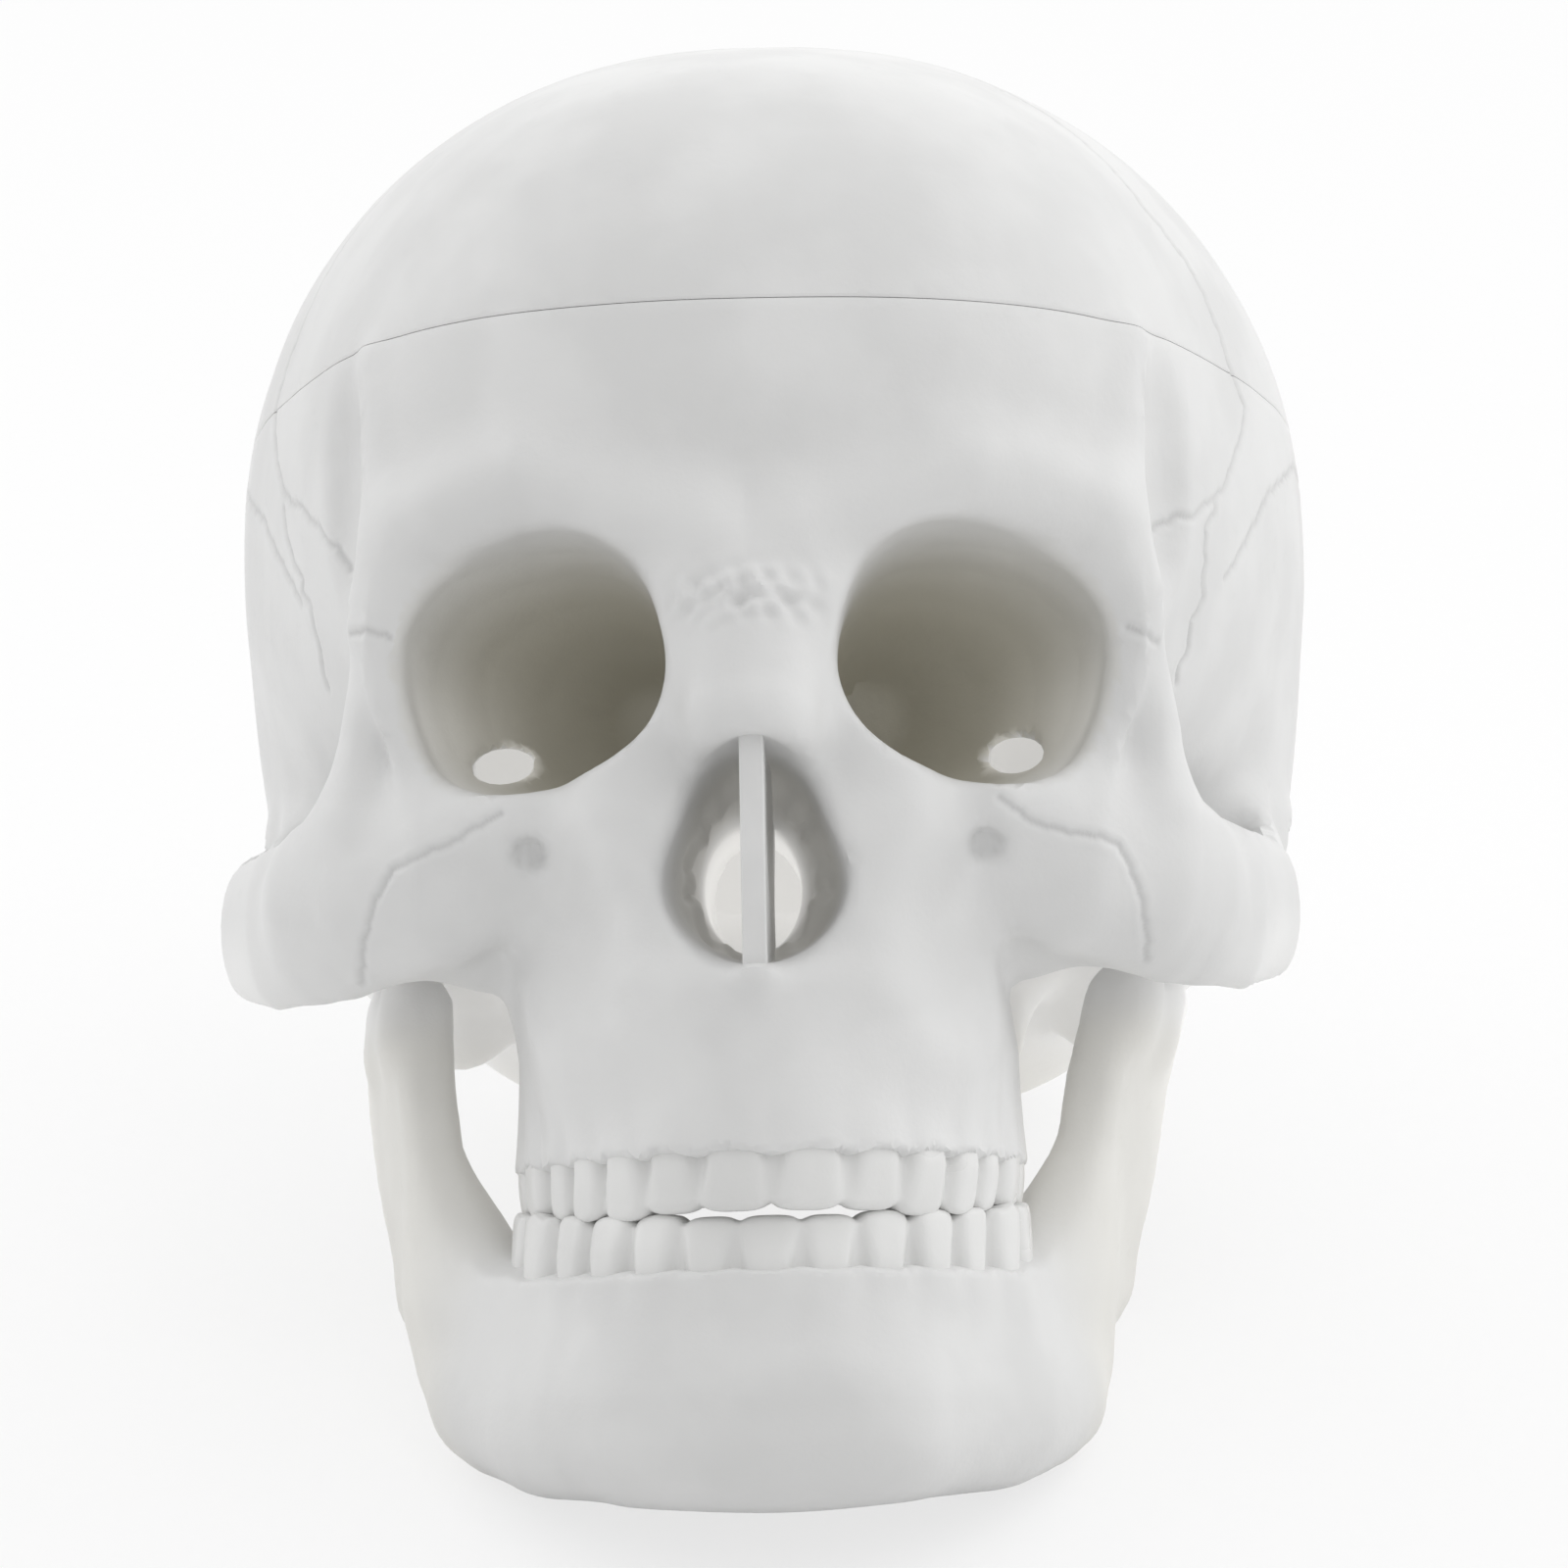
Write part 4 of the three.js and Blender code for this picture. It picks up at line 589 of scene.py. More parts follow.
def teeth_stray(p):
    """How far the middle of the teeth strays to the right."""
    return smooth_step(-p[:, 1], 50, 88) * np.interp(
        p[:, 2], (-84, -64, -58, -48, -24), (0, 0.7, 0.8, 1.8, 0))


def skull_stray(p):
    """How far the middle of the skull strays to the side: the photo's one isn't quite
    even, its teeth sit to the right and its cheek arches to the left."""
    arches = np.interp(p[:, 1], (-80, -60, -32, -16), (0, 1, 1, 0)) * np.interp(
        p[:, 2], (-32, -22, -2, 8), (0, 1, 1, 0))
    return teeth_stray(p) - 1.5 * arches


def jaw_stray(p):
    """How far the middle of the jaw strays: its branches sit to the left."""
    return teeth_stray(p) - smooth_step(p[:, 1], -75, -45) * np.interp(
        p[:, 2], (-88, -76, -64, -34, -20), (0, 1.2, 2.2, 1.6, 0))


def mirrored(form, stray=skull_stray):
    """The same form on both sides of the middle."""
    def whole(p):
        p = p.copy()
        p[:, 0] = np.abs(p[:, 0] - stray(p))
        return form(p)
    return whole


def in_lumps(form, points, lump=200_000):
    """A form's values at points, worked out a lump at a time to spare memory."""
    return np.concatenate([form(points[n:n + lump]) for n in range(0, len(points), lump)])


def field(form, low, high, cell):
    """The form's values on a grid. Blocks out of reach of the surface keep one value."""
    counts = np.ceil((high - low) / cell / BLOCK).astype(int) + 1
    grid = np.stack(np.meshgrid(*(np.arange(n) for n in counts), indexing="ij"), -1)
    blocks = grid.reshape(-1, 3)
    middles = low + (blocks * BLOCK + BLOCK / 2) * cell
    rough = in_lumps(form, middles)
    reach = BLOCK / 2 * cell * math.sqrt(3) * SPARE_REACH + cell
    values = np.repeat(rough, BLOCK ** 3).reshape(-1, BLOCK, BLOCK, BLOCK)
    near = np.nonzero(np.abs(rough) < reach)[0]
    steps = np.stack(np.meshgrid(*[np.arange(BLOCK)] * 3, indexing="ij"), -1).reshape(-1, 3)
    nodes = (blocks[near, None] * BLOCK + steps[None]).reshape(-1, 3)
    values[near] = in_lumps(form, low + nodes * cell).reshape(-1, BLOCK, BLOCK, BLOCK)
    values = values.reshape(*counts, BLOCK, BLOCK, BLOCK)
    return values.transpose(0, 3, 1, 4, 2, 5).reshape(counts * BLOCK)


def awkward_states():
    """The cell states whose inside or outside corners meet only across a diagonal."""
    def joined(corners):
        corners = set(corners)
        if not corners:
            return True
        found, waiting = set(), [next(iter(corners))]
        while waiting:
            here = waiting.pop()
            found.add(here)
            waiting += [
                c for c in corners - found if sum(a != b for a, b in zip(c, here)) == 1]
        return found == corners

    states = np.zeros(256, bool)
    for state in range(256):
        inner = {c for n, c in enumerate(CORNERS) if state >> n & 1}
        states[state] = not joined(inner) or not joined(set(CORNERS) - inner)
        for axis in range(3):
            for side in (0, 1):
                face = [c for c in CORNERS if c[axis] == side]
                if sum(c in inner for c in face) == 2 and not joined(inner & set(face)):
                    states[state] = True
    return states


def settle(values):
    """Fills the nearest corner of each awkward cell, until the surface has no pinch."""
    awkward = awkward_states()
    shape = np.array(values.shape) - 1
    for _ in range(SETTLING_ROUNDS):
        state = np.zeros(shape, np.uint8)
        for n, (i, j, k) in enumerate(CORNERS):
            inner = values[i:i + shape[0], j:j + shape[1], k:k + shape[2]] < 0
            state |= inner.astype(np.uint8) << n
        cells = np.argwhere(awkward[state])
        if not len(cells):
            return
        nodes = cells[:, None] + np.array(CORNERS)
        found = values[tuple(nodes.reshape(-1, 3).T)].reshape(-1, 8)
        found = np.where(found < 0, np.inf, found)
        chosen = nodes[np.arange(len(cells)), found.argmin(1)]
        values[tuple(chosen.T)] = JUST_INSIDE


def skin(form, low, high, cell):
    """Points and quads of a closed skin round the inside of a form."""
    low, high = np.array(low, float), np.array(high, float)
    values = field(form, low, high, cell)
    settle(values)
    inside = values < 0
    shape = np.array(values.shape) - 1
    views = [inside[i:i + shape[0], j:j + shape[1], k:k + shape[2]] for i, j, k in CORNERS]
    mixed = np.logical_or.reduce(views) & ~np.logical_and.reduce(views)
    cells = np.argwhere(mixed)
    index = np.full(shape, -1)
    index[tuple(cells.T)] = np.arange(len(cells))
    total, count = np.zeros((len(cells), 3)), np.zeros(len(cells))
    quads = []
    for axis in range(3):
        step = np.eye(3, dtype=int)[axis]
        u, v = np.roll(np.eye(3, dtype=int), -axis - 1, 0)[:2]
        for offset in (0 * u, u, v, u + v):
            a = values[tuple((cells + offset).T)]
            b = values[tuple((cells + offset + step).T)]
            crossed = (a < 0) != (b < 0)
            share = np.divide(a, a - b, out=np.zeros_like(a), where=crossed)
            total[crossed] += (cells + offset + share[:, None] * step)[crossed]
            count += crossed
        here = [slice(0, -1) if n == axis else slice(1, -1) for n in range(3)]
        there = [slice(1, None) if n == axis else slice(1, -1) for n in range(3)]
        start = np.array([0 if n == axis else 1 for n in range(3)])
        edges = np.argwhere(inside[tuple(here)] != inside[tuple(there)]) + start
        ring = np.stack([
            index[tuple(c.T)] for c in (edges - u - v, edges - v, edges, edges - u)], 1)
        outward = inside[tuple(edges.T)]
        quads.append(np.where(outward[:, None], ring, ring[:, ::-1]))
    return low + cell * total / count[:, None], np.concatenate(quads)


LOOK = 0.12
LOOKS = np.array([(1, -1, -1), (-1, -1, 1), (-1, 1, -1), (1, 1, 1)]) * LOOK
FLATTEST = 0.05


def level_and_slope(form, points):
    """The value and the gradient of a form, from four looks round each point."""
    values = [in_lumps(form, points + look) for look in LOOKS]
    slope = sum(value[:, None] * look for value, look in zip(values, LOOKS))
    return sum(values) / len(LOOKS), slope / (len(LOOKS) * LOOK ** 2)


def drawn_on(form, points, farthest, rounds=2):
    """Points moved onto a form's surface, and the surface's outward directions there."""
    for _ in range(rounds):
        level, slope = level_and_slope(form, points)
        steepness = np.maximum((slope * slope).sum(1), FLATTEST)
        move = -(level / steepness)[:, None] * slope
        length = np.linalg.norm(move, axis=1) + TINY
        points = points + move * np.minimum(1, farthest / length)[:, None]
    return points, slope / (np.linalg.norm(slope, axis=1)[:, None] + TINY)


# Finishes

# Sockets of the Attribute and Mix nodes that share their names with others
FACTOR_OUTPUT = 2
COLOUR_INPUTS = (6, 7)
COLOUR_OUTPUT = 2


class Value:
    """A number that varies over a surface. Python arithmetic on it adds Math nodes."""

    def __init__(self, shading, socket):
        self.shading, self.socket = shading, socket

    def worked(self, operation, *terms):
        return self.shading.value(
            "ShaderNodeMath", {"operation": operation}, dict(enumerate(terms)))

    def __add__(self, other):
        return self.worked("ADD", self, other)

    def __mul__(self, other):
        return self.worked("MULTIPLY", self, other)

    __radd__, __rmul__ = __add__, __mul__

    def between(self, low, high):
        """0 at low, 1 at high and beyond."""
        return self.shading.value(
            "ShaderNodeMapRange", {"interpolation_type": "SMOOTHSTEP"},
            {"Value": self, "From Min": low, "From Max": high})


class Shading:
    """A tree of shader nodes, and what is added to it."""

    def __init__(self, tree):
        self.tree = tree

    def set(self, node, inputs):
        for key, given in inputs.items():
            given = getattr(given, "socket", given)
            if isinstance(given, bpy.types.NodeSocket):
                self.tree.links.new(given, node.inputs[key])
            else:
                node.inputs[key].default_value = given

    def node(self, kind, settings=None, inputs=None):
        """Adds any node: its settings first, then the values or links of its sockets."""
        node = self.tree.nodes.new(kind)
        for key, given in (settings or {}).items():
            setattr(node, key, given)
        self.set(node, inputs or {})
        return node

    def value(self, kind, settings=None, inputs=None, output=0):
        """Adds a node for the number that it puts out."""
        return Value(self, self.node(kind, settings, inputs).outputs[output])


class Finish(Shading):
    """A material with a Principled surface, and the nodes that vary it."""

    def __init__(self, name, colour, roughness, metallic=0.0):
        self.material = bpy.data.materials.new(name)
        self.material.use_nodes = True
        self.material.diffuse_color = (*colour, 1)
        super().__init__(self.material.node_tree)
        self.surface = self.tree.nodes["Principled BSDF"]
        self.set(self.surface, {
            "Base Color": (*colour, 1), "Roughness": roughness, "Metallic": metallic})

    def noise(self, size, detail=3.0, roughness=0.5, stretch=(1, 1, 1)):
        """Noise of about 0 to 1 with patches of a size in millimetres."""
        place = self.node("ShaderNodeTexCoord").outputs["Object"]
        at = self.node("ShaderNodeMapping", None, {"Vector": place, "Scale": stretch})
        return self.value("ShaderNodeTexNoise", None, {
            "Vector": at.outputs[0], "Scale": 1 / (size * MM),
            "Detail": detail, "Roughness": roughness})

    def marked(self, attribute):
        """The number that an attribute of the mesh holds."""
        return self.value(
            "ShaderNodeAttribute", {"attribute_name": attribute}, output=FACTOR_OUTPUT)

    def tinted(self, colour, other, share):
        """One colour turned into another where the share is 1."""
        first, second = (
            given if isinstance(given, bpy.types.NodeSocket) else (*given, 1)
            for given in (colour, other))
        return self.node(
            "ShaderNodeMix", {"data_type": "RGBA"},
            {"Factor": share, COLOUR_INPUTS[0]: first, COLOUR_INPUTS[1]: second},
        ).outputs[COLOUR_OUTPUT]

    def bumped(self, height, depth):
        """Surface relief from heights of 0 to 1, as deep as depth in millimetres."""
        bump = self.node(
            "ShaderNodeBump", None, {"Height": height, "Strength": 1, "Distance": depth * MM})
        self.set(self.surface, {"Normal": bump.outputs[0]})


# Strength and colour of the painted glow that stands in for light coming through the thin
# plastic
PAINTED_GLOW_STRENGTH = 0.62
PAINTED_GLOW_COLOUR = (1, 0.985, 0.96)
STEEL_ROUGHNESS = 0.32


def shaded(colour, *shares):
    """A colour times one share, or times a share for each of red, green and blue."""
    return [c * share for c, share in zip(colour, shares * (3 // len(shares)))]


def moulded_plastic(name, colour, roughness):
    """Satin white plastic with faint clouding, handling marks and a grained skin. It has painted
    shade in its grooves and recesses, and a painted glow that stands in for light coming through
    it."""
    finish = Finish(name, colour, roughness)
    clouds = finish.noise(24)
    clouded = finish.tinted(
        shaded(colour, 1.02), shaded(colour, 0.95), clouds.between(0.38, 0.62))
    # Painted shade: a darker, warmer colour in the recesses, where the deep mark is set
    recess_shaded = finish.tinted(
        clouded, shaded(colour, 0.85, 0.82, 0.72), finish.marked("deep"))
    # Painted shade: the colour darkened along the suture grooves, where the groove mark is set
    groove_shaded = finish.tinted(recess_shaded, shaded(colour, 0.8), finish.marked("groove") * 0.8)
    scuffs = finish.noise(5, 4, 0.65, (1, 1, 2.2)).between(0.58, 0.72)
    finish.set(finish.surface, {
        "Base Color": groove_shaded,
        "Roughness": clouds * 0.16 + scuffs * 0.14 + (roughness - 0.08),
        # Painted glow where the inner mark is set, standing in for light coming through the
        # plastic
        "Emission Strength": PAINTED_GLOW_STRENGTH,
        "Emission Color": finish.tinted((0, 0, 0), PAINTED_GLOW_COLOUR, finish.marked("inner"))})
    grain = finish.noise(0.9, 4, 0.6) * 0.35 + finish.noise(4.5, 3) * 0.65
    finish.bumped(grain, 0.1)
    return finish.material


def plated_steel(name, colour, roughness):
    """Zinc-plated steel, streaked along its making and slightly dulled in patches."""
    finish = Finish(name, colour, roughness, 1.0)
    patches = finish.noise(2.5, 3)
    streaks = finish.noise(0.5, 2, 0.5, (1, 1, 0.15))
    finish.set(finish.surface, {
        "Base Color": finish.tinted(colour, shaded(colour, 0.72), patches.between(0.45, 0.75)),
        "Roughness": patches * 0.2 + streaks * 0.08 + (roughness - 0.1)})
    finish.bumped(streaks, 0.02)
    return finish.material


# Objects and their meshes

def linked(name, data):
    """A new object in the scene, made of some data."""
    made = bpy.data.objects.new(name, data)
    bpy.context.collection.objects.link(made)
    return made


def copied(piece, name):
    """A copy of a piece with its own mesh."""
    return linked(name, piece.data.copy())


def deselected():
    if bpy.context.object and bpy.context.object.mode != "OBJECT":
        bpy.ops.object.mode_set(mode="OBJECT")
    bpy.ops.object.select_all(action="DESELECT")


def active(piece):
    deselected()
    piece.select_set(True)
    bpy.context.view_layer.objects.active = piece


def coordinates(mesh):
    flat = np.empty(len(mesh.vertices) * 3)
    mesh.vertices.foreach_get("co", flat)
    return flat.reshape(-1, 3)


# Lines in the bone: how far each waves to its sides, and the points that it runs through.
# Those of the front follow the photo, so that left and right differ

NAPE = [
    (0, 77.5, 80), (10, 80.2, 74), (20, 81.7, 66), (31, 80.7, 56.5), (42, 76.3, 47),
    (51, 69.7, 37), (58, 60.7, 27), (64, 47.6, 18), (67, 38.7, 11)]
OVER_EAR = [
    (60, -46, 30), (67, -30, 44), (72, -8, 52), (74, 12, 49), (73, 28, 36), (67, 38.7, 11)]


def on_left(points):
    return [(-x, y, z) for x, y, z in points]


SUTURES = {
    "left_brow_end": (0.12, [
        (-65.5, -31.3, 58.4), (-65.2, -34.6, 53.7), (-64.4, -38, 49.1), (-63.2, -41.6, 45.3),
        (-61.3, -46.7, 42.8), (-59.8, -50.5, 42), (-58.6, -53.4, 39.9), (-56.9, -57.3, 37.9),
        (-55.8, -59.3, 35.8), (-54, -60.8, 34.2), (-53, -61.3, 32.8), (-51.9, -62.2, 31.1)]),
    "left_temple": (0.08, [
        (-63.4, -41.1, 43.2), (-63.1, -41.9, 40.4), (-62.5, -43.1, 38.2), (-61.5, -45.2, 35.2),
        (-59.8, -48.7, 32.3), (-60.1, -47.4, 30.9), (-58.7, -50.2, 28.8), (-58.4, -49.3, 26),
        (-57.9, -49.3, 24), (-57.5, -49.2, 22.7), (-57.4, -47.1, 19.8), (-56.7, -47.1, 17.8)]),
    "left_cheek_post": (0.12, [
        (-50.8, -75.4, 20.6), (-49.1, -77.4, 20.6), (-48.2, -77.9, 20.9), (-45.4, -77.6, 19.6)]),
    "right_cheek_post": (0.12, [
        (46.6, -77.5, 18.7), (48.8, -77.3, 17.9), (50.3, -74.7, 17.4)]),
    "right_brow_end": (0.1, [
        (62.4, -39.7, 59.4), (63.3, -38.5, 57), (64.4, -36.5, 54.7), (63.9, -39.1, 50.9),
        (62.8, -42.4, 47.7), (61.7, -45.7, 44.4), (60.8, -47.8, 41.9), (59.3, -51.5, 39.9),
        (59.3, -51.5, 38.2), (57.8, -54.6, 35.4), (57.6, -54.3, 32.6), (57.7, -53.4, 30.8),
        (57.1, -54, 28.8), (57.4, -52.1, 26.6), (55.6, -54.2, 23.1), (55.3, -53, 20.7),
        (54.9, -52.5, 19.1), (53.9, -53.2, 17.5), (53.6, -51.6, 15.2)]),
    "right_temple": (0.08, [
        (59.3, -51.5, 39.9), (57.2, -56.6, 37.6), (55.7, -59.4, 35.6), (53.8, -60.8, 36),
        (52.5, -61.6, 35), (50.6, -63.3, 33.8)]),
    "left_cheek": (0.1, [
        (-31.6, -84.5, -3.6), (-37.9, -82.7, -6.9), (-45.5, -79.8, -10), (-47.5, -78, -12.9),
        (-49.5, -74.7, -18), (-50.5, -68.2, -22.9)]),
    "right_cheek": (0.1, [
        (30.1, -84.7, -3.2), (34.9, -83.2, -6.4), (44.5, -80.5, -8.5), (46.9, -78.2, -13.2),
        (48.1, -70.1, -22.2)]),
    "crown": (0.3, [
        (-65.5, -31.3, 58.4), (-63.8, -31.9, 64.5), (-61.3, -33.9, 69.8), (-53, -33, 84),
        (-36, -33, 98), (-18, -31, 108), (0, -29, 111), (18, -32, 108), (36, -38, 97),
        (51.1, -45.5, 80.2), (57.5, -40.8, 72.5), (62.4, -39.7, 59.4)]),
    "top": (0.8, [(0, -29, 111), (0, 0, 112), (0, 30, 109), (0, 58, 99), (0, 77, 80)]),
    "left_nape": (0.7, on_left(NAPE)),
    "right_nape": (0.7, NAPE),
    "left_ear": (0.15, on_left(OVER_EAR)),
    "right_ear": (0.15, OVER_EAR),
}
LINE_SPACING = 0.5
LINE_LUMP = 4000
NEAR_LINE = 1.6
FAR_FROM_LINES = 9.0
SWELLS = 7


def strung(points, serration):
    """A line along the bone through points, waved to its sides by its serration."""
    form = mirrored(fixed_skull)
    points = drawn_on(form, np.array(points, float), farthest=6, rounds=6)[0]
    gone = np.concatenate([[0], np.cumsum(np.linalg.norm(np.diff(points, axis=0), axis=1))])
    at = np.arange(0, gone[-1], LINE_SPACING)
    line = np.stack([np.interp(at, gone, points[:, k]) for k in range(3)], 1)
    line, outward = drawn_on(form, line, farthest=3, rounds=3)
    across = np.cross(outward, np.gradient(line, axis=0))
    across /= np.linalg.norm(across, axis=1)[:, None] + TINY
    wave = np.sin(at * 1.1) + 0.8 * np.sin(at * 2.3 + 1) + 0.5 * np.sin(at * 4.1 + 2)
    return line + across * (wave * serration)[:, None]


def distance_to_lines(points, lines):
    """How far points lie from the nearest line, up to a few millimetres."""
    far = np.full(len(points), FAR_FROM_LINES)
    for line in lines:
        low, high = line.min(0) - 3, line.max(0) + 3
        near = np.nonzero(((points > low) & (points < high)).all(1))[0]
        for n in range(0, len(near), LINE_LUMP):
            chosen = near[n:n + LINE_LUMP]
            gaps = np.linalg.norm(points[chosen, None] - line[None], axis=2).min(1)
            far[chosen] = np.minimum(far[chosen], gaps)
    return far


def undulation(points, length, seed):
    """Gentle unevenness of about -1 to 1, in swells of a length in millimetres."""
    random = np.random.default_rng(seed)
    swell = np.zeros(len(points))
    for _ in range(SWELLS):
        direction = random.normal(size=3)
        direction *= random.uniform(0.7, 1.5) * 2 * math.pi / length / np.linalg.norm(direction)
        swell += np.sin(points @ direction + random.uniform(0, 2 * math.pi))
    return swell / 4


def cut_finer(bm, chosen, times):
    """Halves the edges of the faces whose middles are chosen, a number of times."""
    for _ in range(times):
        faces = list(bm.faces)
        middles = np.array([face.calc_center_median() for face in faces])
        edges = {edge for n in np.nonzero(chosen(middles))[0] for edge in faces[n].edges}
        bmesh.ops.subdivide_edges(bm, edges=list(edges), cuts=1, use_grid_fill=True)


def from_middle(at):
    """How far points lie out from the middle, back from the ear holes, and up."""
    return np.abs(at[:, 0]), at[:, 1], at[:, 2]


def region(*bounds):
    """A test for points between bounds (low, high) of how far out, back and up they lie."""
    def inside(at):
        return np.logical_and.reduce([
            (side > low) & (side < high) for side, (low, high) in zip(from_middle(at), bounds)])
    return inside


def by_gum(gum_z):
    """The edge of a jaw round the necks of its teeth."""
    return region((-ENDLESS, ENDLESS), (-ENDLESS, -54), (gum_z - 3, gum_z + 3))


# Where the skull's faces are cut finer: the face with the bones' finest edges, the upper
# gum, the thin lower edges of the cheek arches, the knots at the root of the nose, and
# the openings of the ear canals
NOSE_ROOT_Z = 21.5
FINE_IN_SKULL = (
    region((-ENDLESS, 56), (-ENDLESS, -52), (-ENDLESS, 42)),
    by_gum(UPPER_GUM_Z),
    region((52, ENDLESS), (-64, -10), (-28, -15)),
    region((-ENDLESS, 10), (-ENDLESS, -84), (NOSE_ROOT_Z - 7, NOSE_ROOT_Z + 7)),
    region((56, ENDLESS), (-7, 7), (-7, 7)))


def beside(form, at, reach):
    """Which points lie within reach of a form's surface, on either side of the skull."""
    return np.abs(mirrored(form)(at)) < reach


def painted_glow(at):
    """How strongly a painted glow stands in for light coming through the plastic: round the
    hollow of the braincase, in the nose towards its back, in the openings and the lower
    outer walls of the eye sockets, and a little in what lies low at the back, which is thin
    and stands before the lit room."""
    out, back, up = from_middle(at)
    hollow = smooth_step(-mirrored(cavity)(at), -1.2, -0.2)
    hollow *= (mirrored(orbit)(at) > 0.6) & (mirrored(ear_canal)(at) > 0.6) & (up > -40)
    hollow *= np.interp(out, (14, 22), (0.41, 0.28))
    nose = beside(nasal_passage, at, 1.5) * np.interp(
        back, (-86, -75, CHOANA_Y - 3, CHOANA_Y + 2), (0, 0.13, 0.2, 0.42))
    fissure = beside(orbital_fissure, at, 0.8) * smooth_step(back, -62, -57)
    fissure *= smooth_step(-back, 26, 34)
    low = 0.14 * smooth_step(back, -60, -46) + 0.22 * smooth_step(back, -24, -8)
    low *= smooth_step(-up, 10, 20)
    socket = beside(orbit, at, 1.2) * smooth_step(out, 25, 44) * smooth_step(-up, -22, -8)
    socket *= smooth_step(-mirrored(solid_skull)(at), 0.6, 3)
    return np.maximum.reduce([hollow, nose, 0.3 * fissure, low, 0.2 * socket])


def painted_recess_shade(at):
    """How much painted shade, darker and warmer, lies in the eye sockets, nose and jaw branches.
    """
    out, back, up = from_middle(at)
    socket = beside(orbit, at, 1.2) * smooth_step(back, -88, -54)
    nose = beside(nasal_passage, at, 1.5) * np.interp(
        back, (-90, -80, -70, -62), (0, 0.5, 0.5, 0))
    branch = 0.4 * smooth_step(back, -62, -46) * (out > 30) * smooth_step(-up, 22, 30)
    return np.maximum.reduce([socket, nose, branch])


GROOVE_WIDTH = 0.46
LIP_AT, LIP_WIDTH, LIP_HEIGHT = 1.2, 0.5, 0.06
JAW_CELL_SHARE = 0.62
TOOTH_UNEVENNESS = 0.05


def bone(form, low, high, cell, unevenness, lines=(), groove=0.0, fine=()):
    """A bmesh of bone in the skull's frame: finer along its lines and in its fine
    regions, uneven, with its lines cut in, and with the marks that its finish reads."""
    points, quads = skin(form, low, high, cell)
    mesh = bpy.data.meshes.new("bone")
    mesh.from_pydata(points.tolist(), [], quads.tolist())
    bm = bmesh.new()
    bm.from_mesh(mesh)
    bpy.data.meshes.remove(mesh)
    if lines:
        cut_finer(bm, lambda at: distance_to_lines(at, lines) < NEAR_LINE, 2)
    for chosen in fine:
        cut_finer(bm, chosen, 1)
    points, outward = drawn_on(form, np.array([vert.co for vert in bm.verts]), cell / 2)
    near = distance_to_lines(points, lines)
    cut = np.exp(-(near / GROOVE_WIDTH) ** 2)
    lip = np.exp(-((near - LIP_AT) / LIP_WIDTH) ** 2)
    root = np.exp(-((points[:, 2] - NOSE_ROOT_Z) / 3.2) ** 2 - (points[:, 0] / 9) ** 4)
    knots = root * (points[:, 1] < -85) * undulation(points, 3.2, 5)
    depth = unevenness * undulation(points, 21, 3) + knots - groove * cut + LIP_HEIGHT * lip
    points = points + outward * depth[:, None]
    # Marks that the finish reads: groove and deep carry painted shade, inner a painted glow
    marks = {"groove": cut, "inner": painted_glow(points), "deep": painted_recess_shade(points)}
    for name, amounts in marks.items():
        mark = bm.verts.layers.float.new(name)
        for vert, amount in zip(bm.verts, amounts.tolist()):
            vert[mark] = amount
    for vert, place in zip(bm.verts, points.tolist()):
        vert.co = place
    return bm


def bone_object(bm, name):
    """An object on the table from a bmesh in the skull's frame."""
    bmesh.ops.triangulate(bm, faces=[face for face in bm.faces if len(face.verts) > 4])
    for vert, place in zip(bm.verts, in_row(np.array([vert.co for vert in bm.verts])).tolist()):
        vert.co = place
    mesh = bpy.data.meshes.new(name)
    bm.to_mesh(mesh)
    bm.free()
    return linked(name, mesh)


def peg_places():
    """Where the pegs stand on the saw cut, in the skull's frame."""
    places = []
    for name in PEGS:
        low, high = (in_skull(corner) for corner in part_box(name))
        places.append((low + high) / 2)
    return places


CHAMFER_HEIGHT, CHAMFER_WIDTH = 0.35, 0.12
BORE_RADIUS, BORE_SIDES = 1.3, 20
BORE_DEPTHS = {-1: 4.3, 1: 2.3}


